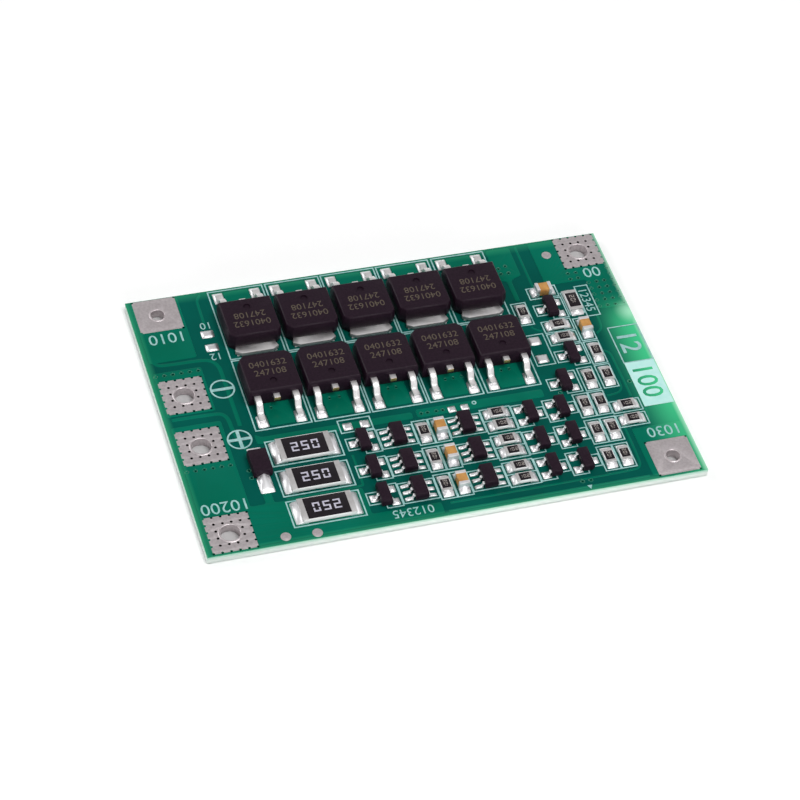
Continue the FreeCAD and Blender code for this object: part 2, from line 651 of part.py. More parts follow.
small_body, small_frame = small_package(
    "small", "sizes.small_width", "sizes.small_length", "sizes.small_height", "sizes.small_lead_width",
    "sizes.small_lead_reach", ["-sizes.small_pitch / 2", "sizes.small_pitch / 2"], ["0"])
CONTROL_OFFSETS = ["-sizes.control_pitch", "0", "sizes.control_pitch"]
control_body, control_frame = small_package(
    "control", "sizes.control_width", "sizes.control_length", "sizes.control_height",
    "sizes.control_lead_width", "sizes.control_lead_reach", CONTROL_OFFSETS, CONTROL_OFFSETS)


# Chip: a ceramic block along X with wrapped metal ends. A resistor has strips round three sides of each
# end and a glaze between them; a capacitor has a cup over each end.

def chip(name, length, width, height, band, cups=False):
    side = "sizes.plating" if cups else "0"
    ceramic = box(f"{name}_ceramic", f"{length} - 2 * sizes.plating", f"{width} - 2 * {side}",
                  f"{height} - 2 * sizes.plating", z="sizes.plating")
    block = box(f"{name}_block", length, width, height)
    between = box(f"{name}_between", f"{length} - 2 * {band}", f"2 * {width}", f"3 * {height}",
                  z=f"-{height}")
    ends = cut(f"{name}_ends", cut(f"{name}_sleeve", block, ceramic), between)
    glaze = None
    if not cups:
        glaze = box(f"{name}_glaze", f"{length} - 2 * {band}", f"{width} - 2 * sizes.glaze_margin",
                    "sizes.plating", z=f"{height} - sizes.plating")
    return ceramic, ends, glaze


balance_chip = chip("balance", "sizes.balance_length", "sizes.balance_width", "sizes.balance_height",
                    "sizes.balance_band")
short_chip = chip("short", "sizes.chip_length", "sizes.chip_width", "sizes.chip_height", "sizes.chip_band")
long_chip = chip("long", "sizes.long_chip_length", "sizes.long_chip_width", "sizes.long_chip_height",
                 "sizes.long_chip_band")
capacitor = chip("filter", "sizes.chip_length", "sizes.chip_width", "sizes.capacitor_height",
                 "sizes.capacitor_band", cups=True)

# Flat diode along Y, its two leads level with its underside
diode_mould, _ = moulded("diode_mould", block_plan("sizes.diode_width", "sizes.diode_length"), "0",
                         "sizes.diode_parting", "sizes.diode_height", "sizes.small_draft")
DIODE_STRIP = "sizes.diode_lead_reach + sizes.diode_lead_root"
diode_leads = []
for end, side in (("near", "-"), ("far", "+")):
    diode_leads.append(box(
        f"diode_{end}_lead", "sizes.diode_lead_width", DIODE_STRIP, "sizes.diode_lead_thickness",
        y=f"{side}(sizes.diode_length / 2 + sizes.diode_lead_reach - ({DIODE_STRIP}) / 2)"))
diode_frame = group("diode_frame", diode_leads)
diode_block = cut("diode_block", diode_mould, diode_frame)


# Lands under each kind of part

def land(name, length, width, x="0", y="0"):
    return box(name, length, width, "sizes.land_thickness", x, y)


def end_lands(name, reach, length, width):
    """Two lands along X, their outer ends at reach from the middle."""
    offset = f"({reach} - {length} / 2)"
    return group(name, [
        land(f"{name}_left", length, width, f"-{offset}"),
        land(f"{name}_right", length, width, offset),
    ])


def lead_lands(name, reach, length, width, near, far):
    """Lands across a package, one for each lead of small_package."""
    offset = f"({reach} - {length} / 2)"
    lands = []
    for number, x in enumerate(near, start=1):
        lands.append(land(f"{name}_near_{number}", width, length, x, offset))
    for number, x in enumerate(far, start=1):
        lands.append(land(f"{name}_far_{number}", width, length, f"-({x})", f"-{offset}"))
    return group(name, lands)


FOOT_LAND_Y = f"({HALF_LENGTH} + sizes.lead_reach + sizes.foot_land_reach - sizes.foot_land_length / 2)"
power_lands = group("power_lands", [
    land("power_tab_land", "sizes.tab_land_width", "sizes.tab_land_length", "0",
         f"{TAB_END} - sizes.tab_land_reach + sizes.tab_land_length / 2"),
    land("power_gate_land", "sizes.foot_land_width", "sizes.foot_land_length",
         "-sizes.lead_spread / 2", FOOT_LAND_Y),
    land("power_source_land", "sizes.foot_land_width", "sizes.foot_land_length",
         "sizes.lead_spread / 2", FOOT_LAND_Y),
])
small_lands = lead_lands("small_lands", "sizes.small_land_reach", "sizes.small_land_length",
                         "sizes.small_land_width", ["-sizes.small_pitch / 2", "sizes.small_pitch / 2"], ["0"])
control_lands = lead_lands("control_lands", "sizes.control_land_reach", "sizes.control_land_length",
                           "sizes.control_land_width", CONTROL_OFFSETS, CONTROL_OFFSETS)
chip_lands = end_lands("chip_lands", "sizes.chip_land_reach", "sizes.chip_land_length",
                       "sizes.chip_land_width")
long_lands = end_lands("long_lands", "sizes.long_land_reach", "sizes.long_land_length",
                       "sizes.long_land_width")
balance_lands = end_lands("balance_lands", "sizes.balance_land_reach", "sizes.balance_land_length",
                          "sizes.balance_land_width")
DIODE_END = "(sizes.diode_length / 2 + sizes.diode_lead_reach)"
diode_lands = group("diode_lands", [
    land("diode_near_land", "sizes.diode_land_width", "sizes.diode_land_length", "0",
         f"-({DIODE_END} + sizes.diode_land_reach - sizes.diode_land_length / 2)"),
    land("diode_far_land", "sizes.diode_land_width", "sizes.diode_short_land", "0",
         f"{DIODE_END} + sizes.diode_short_reach - sizes.diode_short_land / 2"),
])
link_lands = end_lands("link_lands", "(sizes.link_spacing + sizes.link_land_length) / 2",
                       "sizes.link_land_length", "sizes.link_land_width")
spare_lands = end_lands("spare_lands", "(sizes.spare_spacing + sizes.spare_land) / 2",
                        "sizes.spare_land", "sizes.spare_land")
probe_lands = end_lands("probe_lands", "(sizes.probe_spacing + sizes.probe_land) / 2",
                        "sizes.probe_land", "sizes.probe_land")
empty_lands = end_lands("empty_lands", "(sizes.empty_spacing + sizes.empty_land_length) / 2",
                        "sizes.empty_land_length", "sizes.empty_land_width")

# Where everything goes: the turn is about Z, and a quarter turn back sets a package's pair to the right
all_lands = []


def seat(name, parts, lands, place, turn=0, offset_y="0", row=None):
    """Put a part's pieces on the lands at a place, and its lands on the laminate."""
    x, y = on_board(place, "0", offset_y, row)
    all_lands.append(put(f"{name}_on_lands", lands, x, y, LAMINATE_TOP, turn))
    return [put(f"{name}_piece_{number}", part, x, y, SEAT, turn)
            for number, part in enumerate(parts, start=1) if part]


# Ten power transistors: the lower row turns its tabs to the middle of the board, and so does the upper
number = 0
for place, turn in (("power_lower", 180), ("power_upper", 0)):
    for column in range(POWER_COLUMNS):
        number += 1
        x, y = on_board(place, f"{column} * {POWER_PITCH}")
        all_lands.append(put(f"power_on_lands_{number}", power_lands, x, y, LAMINATE_TOP, turn))
        keep(put(f"placed_power_body_{number}", power_body, x, y, SEAT, turn), f"power_body_{number}")
        keep(put(f"placed_power_frame_{number}", power_frame, x, y, SEAT, turn), f"power_frame_{number}")

# Balance resistors
glazes = []
for number in range(CHANNELS):
    row = f"sizes.balance_row + {number} * sizes.balance_pitch"
    ceramic, ends, glaze = seat(f"balance_{number + 1}", balance_chip, balance_lands, "column_balance",
                                row=row)
    keep(ceramic, f"balance_resistor_body_{number + 1}")
    keep(ends, f"balance_resistor_ends_{number + 1}")
    glazes.append(glaze)
keep(group("balance_glazes", glazes), "balance_resistor_glaze")

# Diode
spot("at_diode", f"{LEFT_TERMINALS} + sizes.diode_aisle + sizes.diode_width / 2", "sizes.diode_row")
body, leads = seat("diode", (diode_block, diode_frame), diode_lands, "at_diode")
keep(body, "diode_body")
keep(leads, "diode_leads")

# Controllers: a balancer and a guard in each channel
number = 0
for column in ("column_balancer", "column_guard"):
    for channel in range(CHANNELS):
        number += 1
        body, leads = seat(f"controller_{number}", (control_body, control_frame), control_lands, column,
                           turn=90, row=channel_row(channel))
        keep(body, f"controller_body_{number}")
        keep(leads, f"controller_leads_{number}")

# Transistors: three in each channel and three in the output stage
transistors = []
for channel in range(CHANNELS):
    for column, turn in (("column_balance_switch", -90), ("column_first_shifter", 90),
                         ("column_second_shifter", 90)):
        transistors.append((column, turn, channel_row(channel)))
for place in ("stage_upper_switch", "stage_lower_switch", "stage_driver"):
    transistors.append((place, -90, None))
bodies, frames = [], []
for number, (place, turn, row) in enumerate(transistors, start=1):
    body, leads = seat(f"transistor_{number}", (small_body, small_frame), small_lands, place, turn,
                       row=row)
    bodies.append(body)
    frames.append(leads)
keep(group("transistor_bodies_all", bodies), "transistor_bodies")
keep(group("transistor_leads_all", frames), "transistor_leads")

# Chip resistors: upright at 90 degrees, lying at 0
resistors = []
for channel in range(CHANNELS):
    for column in ("column_sense", "column_first_pull", "column_second_pull"):
        resistors.append((column, 90, "0", channel_row(channel)))
    for side in ("", "-"):
        resistors.append(("column_stack", 0, f"{side}{CHIP_HALF_WIDTH}", channel_row(channel)))
for side in ("", "-"):
    resistors.append(("column_end_pair", 0, f"{side}sizes.end_pair_spacing / 2", "sizes.end_pair_row"))
for place, turn in (("stage_first", 90), ("stage_upper_pull", 0), ("stage_lower_pull", 0),
                    ("stage_bleed", 90), ("stage_gate", 90), ("stage_gate_pull", 90)):
    resistors.append((place, turn, "0", None))
ceramics, ends, glazes = [], [], []
for number, (place, turn, offset, row) in enumerate(resistors, start=1):
    pieces = seat(f"resistor_{number}", short_chip, chip_lands, place, turn, offset, row)
    ceramics.append(pieces[0])
    ends.append(pieces[1])
    glazes.append(pieces[2])
pieces = seat("long_resistor", long_chip, long_lands, "stage_shunt", 90)
keep(group("chip_resistor_ceramics", ceramics + [pieces[0]]), "chip_resistor_bodies")
keep(group("chip_resistor_terminals", ends + [pieces[1]]), "chip_resistor_ends")
keep(group("chip_resistor_glazes", glazes + [pieces[2]]), "chip_resistor_glaze")

# Capacitors
capacitors = [("column_filter", 90, channel_row(channel)) for channel in range(CHANNELS)]
capacitors.append(("stage_filter", 0, None))
capacitors.append(("stage_delay", 90, None))
ceramics, cups = [], []
for number, (place, turn, row) in enumerate(capacitors, start=1):
    body, ends = seat(f"capacitor_{number}", capacitor, chip_lands, place, turn, row=row)
    ceramics.append(body)
    cups.append(ends)
keep(group("capacitor_ceramics", ceramics), "capacitor_bodies")
keep(group("capacitor_cups", cups), "capacitor_ends")

# Bare lands: two pairs stand upright and two lie level
spot("at_link", f"{LEFT_TERMINALS} + sizes.link_aisle", "sizes.link_row")
for lands, place, turn, row in ((link_lands, "at_link", 90, None),
                                (spare_lands, "column_balance_switch", 0, "sizes.spare_row"),
                                (probe_lands, "column_guard", 0, "sizes.spare_row"),
                                (empty_lands, "stage_first", 90, "sizes.empty_row")):
    seat(lands.Name, (), lands, place, turn, row=row)
keep(group("lands", all_lands), "solder_lands")

# Round test points
spot("first_test", "sizes.first_test_inset", "sizes.first_test_row")
spot("second_test", "sizes.second_test_inset", "sizes.second_test_row")
spot("third_test", f"{BOARD_LENGTH} - sizes.third_test_inset", f"{BOARD_WIDTH} - sizes.third_test_row")
points = []
for place in ("first_test", "second_test", "third_test"):
    disc = doc.addObject("Part::Cylinder", f"{place}_point")
    disc.setExpression("Radius", "sizes.test_point / 2")
    disc.setExpression("Height", "sizes.land_thickness")
    x, y = on_board(place)
    points.append(put(f"{place}_placed", disc, x, y, LAMINATE_TOP))
keep(group("test_discs", points), "test_points")

doc.recompute()

# Nothing is written unless every object is sound
for item in doc.Objects:
    faults = [state for state in item.State if state in ("Invalid", "Error")]
    if faults:
        raise RuntimeError(f"{item.Name}: {faults}")
for node in nodes:
    if node.Shape.isNull() or not node.Shape.isValid() or not node.Shape.Solids:
        raise RuntimeError(f"{node.Label}: no sound shape")

os.makedirs("parts", exist_ok=True)
for node in nodes:
    node.Shape.exportStep(f"parts/{node.Label}.step")
print(len(nodes), "sub-parts written")
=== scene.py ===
import math

import bpy
from mathutils import Matrix, Vector


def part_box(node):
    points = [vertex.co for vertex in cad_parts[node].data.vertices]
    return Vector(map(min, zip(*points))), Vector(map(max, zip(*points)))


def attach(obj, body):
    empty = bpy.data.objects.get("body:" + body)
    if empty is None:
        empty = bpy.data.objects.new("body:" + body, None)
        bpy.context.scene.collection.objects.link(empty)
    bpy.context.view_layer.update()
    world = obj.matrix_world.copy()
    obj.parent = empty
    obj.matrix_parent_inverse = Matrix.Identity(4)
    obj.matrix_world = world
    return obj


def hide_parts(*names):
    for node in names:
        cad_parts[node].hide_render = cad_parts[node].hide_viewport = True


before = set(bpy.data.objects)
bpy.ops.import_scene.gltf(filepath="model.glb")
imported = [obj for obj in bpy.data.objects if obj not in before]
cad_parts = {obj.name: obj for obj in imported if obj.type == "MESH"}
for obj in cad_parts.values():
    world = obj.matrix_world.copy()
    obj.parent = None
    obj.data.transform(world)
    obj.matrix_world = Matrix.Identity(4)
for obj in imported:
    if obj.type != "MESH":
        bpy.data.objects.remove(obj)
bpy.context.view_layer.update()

scene = bpy.context.scene

# Camera
# A long lens, a third of a metre away, looks down on the board from the left front. It leans a little to one
# side, as the photograph does.

PICTURE_WIDTH = 800
FOCAL_LENGTH_IN_PIXELS = 2747.86
SENSOR_WIDTH = 36
CAMERA_PLACE = (-0.08656, -0.20313, 0.23845)
CAMERA_RIGHT = Vector((0.95232, -0.29082, 0.09221))
CAMERA_BACK = Vector((-0.26186, -0.62406, 0.73620))


def new_object(name, data):
    """A new object of the scene."""
    thing = bpy.data.objects.new(name, data)
    scene.collection.objects.link(thing)
    return thing


lens = bpy.data.cameras.new("camera")
lens.sensor_width = SENSOR_WIDTH
lens.lens = SENSOR_WIDTH * FOCAL_LENGTH_IN_PIXELS / PICTURE_WIDTH
lens.clip_start = 0.01
lens.clip_end = 20
camera = new_object("camera", lens)
camera_up = CAMERA_BACK.cross(CAMERA_RIGHT)
camera.matrix_world = Matrix.Translation(CAMERA_PLACE) @ Matrix(
    (CAMERA_RIGHT, camera_up, CAMERA_BACK)).transposed().to_4x4()
scene.camera = camera
scene.view_settings.view_transform = "Standard"


# Light
# A white room with three broad lamps: one overhead, one at the far left and one low in front. In mirrors the
# room darkens towards the ceiling, so flat metal reads mid grey and what slopes to the viewer shines.

ROOM_LIGHT = 0.46
CEILING_IN_MIRRORS = 0.42


def linear(code):
    """An sRGB hex colour as linear RGBA."""
    channels = [int(code[place:place + 2], 16) / 255 for place in (1, 3, 5)]
    return [value / 12.92 if value <= 0.04045 else ((value + 0.055) / 1.055) ** 2.4
            for value in channels] + [1.0]


def add_node(tree, kind, settings=None, links=None):
    """Add a node, set its properties and inputs, and link sockets to its inputs."""
    node = tree.nodes.new("ShaderNode" + kind)
    for key, value in (settings or {}).items():
        if isinstance(key, str) and hasattr(node, key):
            setattr(node, key, value)
        else:
            node.inputs[key].default_value = value
    for key, socket in (links or {}).items():
        tree.links.new(socket, node.inputs[key])
    return node


def lamp(name, place, size, power):
    """A rectangular lamp that faces the middle of the board."""
    data = bpy.data.lights.new(name, "AREA")
    data.shape = "RECTANGLE"
    data.size, data.size_y = size
    data.energy = power
    light = new_object(name, data)
    light.location = place
    light.rotation_euler = (-Vector(place)).to_track_quat("-Z", "Y").to_euler()
    light.visible_camera = False


lamp("high_lamp", (0.16, -0.22, 0.72), (0.32, 0.32), 2.3)
lamp("side_lamp", (-0.52, 0.42, 0.42), (0.30, 0.24), 1.3)
lamp("near_lamp", (0.06, -0.62, 0.16), (0.60, 0.16), 1.2)
world = bpy.data.worlds.new("room")
scene.world = world
world.use_nodes = True
tree = world.node_tree
tree.nodes.clear()
rays = add_node(tree, "LightPath")
direction = add_node(tree, "TexCoord")
upward = add_node(tree, "SeparateXYZ", links={"Vector": direction.outputs["Generated"]})
walls = add_node(tree, "MapRange", {"From Min": 0.18, "From Max": 0.5, "To Min": 1.0,
                                    "To Max": CEILING_IN_MIRRORS}, {"Value": upward.outputs["Z"]})
room = add_node(tree, "Background", {"Color": (1, 1, 1, 1), "Strength": ROOM_LIGHT})
mirrored = add_node(tree, "Background", links={"Color": walls.outputs[0]})
backdrop = add_node(tree, "Background", {"Color": (1, 1, 1, 1)})
sheen = add_node(tree, "Math", {"operation": "MAXIMUM"}, {0: rays.outputs["Is Glossy Ray"],
                                                          1: rays.outputs["Is Transmission Ray"]})
reflected = add_node(tree, "MixShader", links={0: sheen.outputs[0], 1: room.outputs[0],
                                               2: mirrored.outputs[0]})
shown = add_node(tree, "MixShader", links={0: rays.outputs["Is Camera Ray"],
                                           1: reflected.outputs[0], 2: backdrop.outputs[0]})
add_node(tree, "OutputWorld", links={"Surface": shown.outputs[0]})


# Floor
# A matt white table top. It stays white to the eye of the camera and takes the shadow of the board. Its
# faint glow stops at the outline of the board, and under the board the table is painted grey as shade, which
# the wire holes show.

WHITE_TABLE = 0.965
PAINTED_SHADE_UNDER_BOARD = 0.64
GLOW = 0.1
FADE = 0.001


def new_material(name):
    """A named material with nothing in it."""
    material = bpy.data.materials.new(name)
    material.use_nodes = True
    material.node_tree.nodes.clear()
    return material, material.node_tree


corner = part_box("circuit_board")[1]
material, tree = new_material("white_table_top")
place = add_node(tree, "TexCoord")
span = add_node(tree, "VectorMath", {"operation": "ABSOLUTE"}, {0: place.outputs["Object"]})
beyond = add_node(tree, "VectorMath", {"operation": "SUBTRACT", 1: (corner.x, corner.y, 0)},
                  {0: span.outputs[0]})
axes = add_node(tree, "SeparateXYZ", links={"Vector": beyond.outputs[0]})
outside = add_node(tree, "Math", {"operation": "MAXIMUM"}, {0: axes.outputs["X"], 1: axes.outputs["Y"]})
strength = add_node(tree, "MapRange", {"From Min": -FADE, "From Max": 0.0, "To Max": GLOW},
                    {"Value": outside.outputs[0]})
# Painted shade: within the outline of the board the white is taken down to grey
white_or_painted_shade = add_node(tree, "MapRange", {"From Min": -FADE, "From Max": 0.0, "To Min": PAINTED_SHADE_UNDER_BOARD,
                                        "To Max": WHITE_TABLE}, {"Value": outside.outputs[0]})
diffuse = add_node(tree, "BsdfDiffuse", links={"Color": white_or_painted_shade.outputs[0]})
glow = add_node(tree, "Emission", links={"Strength": strength.outputs[0]})
both = add_node(tree, "AddShader", links={0: diffuse.outputs[0], 1: glow.outputs[0]})
rays = add_node(tree, "LightPath")
sheen = add_node(tree, "Math", {"operation": "MAXIMUM"}, {0: rays.outputs["Is Glossy Ray"],
                                                          1: rays.outputs["Is Transmission Ray"]})
looks = add_node(tree, "Math", {"operation": "MAXIMUM"}, {0: sheen.outputs[0],
                                                          1: rays.outputs["Is Camera Ray"]})
seen = add_node(tree, "MixShader", links={0: looks.outputs[0], 1: diffuse.outputs[0],
                                          2: both.outputs[0]})
add_node(tree, "OutputMaterial", links={"Surface": seen.outputs[0]})
bpy.ops.mesh.primitive_plane_add(size=6, location=(0, 0, -0.00002))
table = bpy.context.active_object
table.name = "table_top"
table.data.materials.append(material)


# Laminate
# One millimetre of glass cloth and epoxy, sawn to size. Both faces wear glossy green solder mask; the sawn
# edge is bare. Six terminals and some two hundred small plated holes go through it. Sizes are in mm.

MM = 0.001
LEFT, FRONT, BASE = (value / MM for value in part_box("circuit_board")[0])
RIGHT, BACK, TOP = (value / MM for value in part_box("circuit_board")[1])
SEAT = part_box("solder_lands")[1].z / MM
LAND = SEAT - TOP
VIA_RADIUS = 0.165
STITCH = 1.024
GRID = [(-2.5 + step) * STITCH for step in range(6)]
HEAVY_TERMINALS = ("output_negative_terminal", "output_positive_terminal", "battery_positive_terminal",
                   "battery_negative_terminal")
TERMINALS = ("lower_tap_terminal", *HEAVY_TERMINALS, "upper_tap_terminal")
LIGHT_BORE, HEAVY_BORE = 0.8, 1.15
BARREL_WALL = 0.18


def select_only(piece):
    """Select one piece and nothing else, and make it active."""
    bpy.ops.object.select_all(action="DESELECT")
    piece.select_set(True)
    bpy.context.view_layer.objects.active = piece


def open_mesh(piece):
    """Open one piece for editing, with all of it selected."""
    select_only(piece)
    bpy.ops.object.mode_set(mode="EDIT")
    bpy.ops.mesh.select_all(action="SELECT")


def clean(piece):
    """Merge doubled points and turn every face outwards."""
    open_mesh(piece)
    bpy.ops.mesh.remove_doubles(threshold=0.0005)
    bpy.ops.mesh.normals_make_consistent(inside=False)
    bpy.ops.object.mode_set(mode="OBJECT")


def flat_piece(name, loops, height, base, bevel=0.0):
    """A plate cut to closed outlines, where one inside another is a hole. Sizes are in millimetres."""
    curve = bpy.data.curves.new(name, "CURVE")
    curve.dimensions = "2D"
    curve.fill_mode = "BOTH"
    curve.extrude = height / 2 - bevel
    curve.bevel_depth = bevel
    curve.bevel_resolution = 1
    curve.offset = -bevel
    for loop in loops:
        spline = curve.splines.new("POLY")
        spline.points.add(len(loop) - 1)
        for point, (x, y) in zip(spline.points, loop):
            point.co = (x, y, 0, 1)
        spline.use_cyclic_u = True
    piece = new_object(name, curve)
    piece.location.z = base + height / 2
    select_only(piece)
    bpy.ops.object.convert(target="MESH")
    bpy.ops.object.transform_apply()
    clean(piece)
    return piece


def disc(x, y, radius, points=12):
    """The outline of a round hole or spot."""
    turns = [2 * math.pi * step / points for step in range(points)]
    return [(x + radius * math.cos(turn), y + radius * math.sin(turn)) for turn in turns]


def block(x0, y0, x1, y1):
    """The outline of a rectangle."""
    return [(x0, y0), (x1, y0), (x1, y1), (x0, y1)]


def join(pieces, name):
    """Make several meshes one piece."""
    select_only(pieces[0])
    for piece in pieces[1:]:
        piece.select_set(True)
    if len(pieces) > 1:
        bpy.ops.object.join()
    pieces[0].name = name
    pieces[0].data.name = name
    return pieces[0]


def finish(piece, material, slot, *nodes, smooth=None):
    """Bring a piece from millimetres to metres, give it its finish and let it ride on the board."""
    select_only(piece)
    piece.scale = (MM, MM, MM)
    bpy.ops.object.transform_apply()
    if smooth:
        bpy.ops.object.shade_smooth_by_angle(angle=math.radians(smooth))
    piece.data.materials.clear()
    piece.data.materials.append(material)
    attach(piece, "root")
    if nodes:
        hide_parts(*nodes)
    return piece


def centre_of(node):
    """The middle of a CAD node, seen from above."""
    low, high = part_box(node)
    return tuple((low + high).xy / 2 / MM)


def at(x, y):
    """A point of the board, measured from its left front corner, as the model's X and Y."""
    return LEFT + x, FRONT + y


def bore_of(node):
    """The radius of a terminal's wire hole."""
    return HEAVY_BORE if node in HEAVY_TERMINALS else LIGHT_BORE


# Small plated holes: on a grid round each heavy terminal, in rows beside it, and scattered in the copper
pad_vias, land_edge_vias, covered_vias = [], [], []
for node in HEAVY_TERMINALS:
    x, y = centre_of(node)
    for row in GRID:
        for column in GRID:
            reach = max(abs(row), abs(column))
            if reach > 2 * STITCH:
                land_edge_vias.append((x + column, y + row))
            elif reach > STITCH:
                pad_vias.append((x + column, y + row))
for node in (TERMINALS[0], TERMINALS[-1]):
    x, y = centre_of(node)
    land_edge_vias += [(x + side * GRID[-1], y + end * GRID[-1]) for side in (-1, 1) for end in (-1, 1)]
for node, step in (("output_negative_terminal", 3.55), ("output_positive_terminal", -3.45)):
    x, y = centre_of(node)
    covered_vias += [(x + column, y + step) for column in GRID]
x, y = centre_of("battery_negative_terminal")
covered_vias += [(x + GRID[column], y - 3.42 - row * 0.95) for row in (0, 1) for column in (0, 1, 5)]
covered_vias += [(x + GRID[column], y - 5.4 - row * 1.03) for row in range(5) for column in (2, 3, 4, 5)]
covered_vias += [at(x, 20.1) for x in (12.73, 19.8, 21.0, 27.0, 28.0, 34.1, 35.1, 36.1, 41.1, 42.1)]
covered_vias += [at(x, 15.5) for x in (29.67, 30.47, 31.53, 32.33)]
covered_vias += [at(46.2, 36.4), at(47.15, 36.65), at(46.2, 35.5), at(47.2, 35.45), at(44.9, 1.48)]
covered_vias += [at(45.9, 1.48), at(7.78, 11.3), at(7.78, 10.2), at(46.95, 15.15), at(55.75, 15.15)]
ALL_VIAS = pad_vias + land_edge_vias + covered_vias

# Painted glow: the mask is lightened where light would come up through the laminate with no copper to stop
# it: in a strip at the right, up to the copper of the far corner, and in a narrow rim along the other edges.
# Each fade has an axis, the places where it starts and ends, its least and greatest share, its kind, and how
# it joins those before it.
GLOW_FADES = (("X", RIGHT - 5.6, RIGHT, 0.0, 1.0, "SMOOTHSTEP", "MAXIMUM"),
         ("Y", FRONT + 2, FRONT + 14, 0.6, 1.0, "SMOOTHSTEP", "MULTIPLY"),
         ("Y", FRONT + 30, FRONT + 24, 0.0, 1.0, "SMOOTHSTEP", "MULTIPLY"),
         ("X", LEFT + 1.0, LEFT, 0.0, 0.42, "LINEAR", "MAXIMUM"),
         ("Y", FRONT + 0.8, FRONT, 0.0, 0.36, "LINEAR", "MAXIMUM"),
         ("Y", BACK - 1.4, BACK, 0.0, 0.28, "LINEAR", "MAXIMUM"))
# A painted hot spot of light on the right edge, and the width of a painted glow along that edge
RIM_GLOW = 0.6
GLOW_SPOT = (RIGHT * MM, (FRONT + 26.2) * MM, TOP * MM)
GLOW_SPOT_RADIUS = 2.4


def clouded(tree, dark, light, stops, noise):
    """A noise that wanders between two colours. Returns its place, pattern and colour nodes."""
    place = add_node(tree, "TexCoord")
    pattern = add_node(tree, "TexNoise", noise, {"Vector": place.outputs["Object"]})
    colour = add_node(tree, "ValToRGB", links={"Fac": pattern.outputs["Fac"]})
    for element, stop, code in zip(colour.color_ramp.elements, stops, (dark, light)):
        element.position = stop
        element.color = linear(code)
    return place, pattern, colour


def coated(material, settings, links):
    """Close a material with its outermost surface."""
    skin = add_node(material.node_tree, "BsdfPrincipled", settings, links)
    add_node(material.node_tree, "OutputMaterial", links={"Surface": skin.outputs[0]})
    return material


def solder_mask(name, dark, light, painted_glow, shine=0.05):
    """A smooth green lacquer, cloudy over some centimetres, with a fine ripple that blurs what it mirrors.
    A glow of light through the board, a hot spot and a bright rim are painted into its colour.
    """
    material, tree = new_material(name)
    place, _, body = clouded(tree, dark, light, (0.35, 0.65), {"Scale": 90, "Detail": 3})
    axes = add_node(tree, "SeparateXYZ", links={"Vector": place.outputs["Object"]})
    glow_share = None
    # Painted glow: the fades lighten the green towards the glow colour
    for axis, start, end, least, most, kind, operation in GLOW_FADES:
        fade = add_node(tree, "MapRange", {"From Min": start * MM, "From Max": end * MM, "To Min": least,
                                           "To Max": most, "interpolation_type": kind},
                        {"Value": axes.outputs[axis]})
        glow_share = fade if glow_share is None else add_node(tree, "Math", {"operation": operation},
                                                {0: glow_share.outputs[0], 1: fade.outputs[0]})
    green = add_node(tree, "Mix", {"data_type": "RGBA", 7: linear(painted_glow)},
                     {0: glow_share.outputs[0], 6: body.outputs["Color"]})
    # A painted hot spot and a painted glow along the right edge, in pale green
    span = add_node(tree, "VectorMath", {"operation": "DISTANCE", 1: GLOW_SPOT},
                    {0: place.outputs["Object"]})
    spot_glow = add_node(tree, "MapRange", {"From Min": GLOW_SPOT_RADIUS * MM, "From Max": 0.0, "To Max": 0.8,
                                       "interpolation_type": "SMOOTHSTEP"},
                    {"Value": span.outputs["Value"]})
    rim_glow = add_node(tree, "MapRange", {"From Min": (RIGHT - RIM_GLOW) * MM, "From Max": RIGHT * MM,
                                      "To Max": 0.75}, {"Value": axes.outputs["X"]})
    glare = add_node(tree, "Math", {"operation": "MAXIMUM"}, {0: spot_glow.outputs[0], 1: rim_glow.outputs[0]})
    colour = add_node(tree, "Mix", {"data_type": "RGBA", 7: linear("#B4F2D0")},
                      {0: glare.outputs[0], 6: green.outputs[2]})
    ripple = add_node(tree, "TexNoise", {"Scale": 900, "Detail": 2}, {"Vector": place.outputs["Object"]})
    relief = add_node(tree, "Bump", {"Strength": 0.12, "Distance": 0.00002},
                      {"Height": ripple.outputs["Fac"]})
    return coated(material, {"Roughness": 0.28, "Specular IOR Level": shine},
                  {"Base Color": colour.outputs[2], "Normal": relief.outputs[0]})


# The mask is darker over bare glass cloth than over bright copper, and it shines where it rims a hole
# The last colour of each is the painted glow of light coming up through the board
mask_bare = solder_mask("solder_mask_over_glass_cloth", "#004F46", "#005A4F", "#45C88C")
mask_copper = solder_mask("solder_mask_over_copper", "#016751", "#03705B", "#4BCB8E")
mask_rim = solder_mask("solder_mask_over_hole_rims", "#016751", "#03705B", "#4BCB8E", 0.45)

# Sawn glass cloth and epoxy: pale layers, a few hundredths of a millimetre thick, drawn five times coarser.
# The upper ones are painted greener, as a glow of light that comes green through the laminate under the mask.
GLOW_DEPTH = 0.55
sawn_edge, tree = new_material("sawn_glass_epoxy")
place = add_node(tree, "TexCoord")
layers = add_node(tree, "TexWave", {"wave_type": "BANDS", "bands_direction": "Z", "Scale": 1250,
                                    "Distortion": 1.5, "Detail": 2}, {"Vector": place.outputs["Object"]})
pale = add_node(tree, "ValToRGB", links={"Fac": layers.outputs["Fac"]})
pale.color_ramp.elements[0].color = linear("#E6F3EB")
pale.color_ramp.elements[1].color = linear("#F4FAF6")
axes = add_node(tree, "SeparateXYZ", links={"Vector": place.outputs["Object"]})
# Painted glow: the upper layers are mixed towards green
depth = add_node(tree, "MapRange", {"From Min": (TOP - GLOW_DEPTH) * MM, "From Max": TOP * MM},
                 {"Value": axes.outputs["Z"]})
edge_glow = add_node(tree, "Mix", {"data_type": "RGBA", 7: linear("#8FCDB2")},
                {0: depth.outputs[0], 6: pale.outputs["Color"]})
coated(sawn_edge, {"Roughness": 0.7}, {"Base Color": edge_glow.outputs[2]})

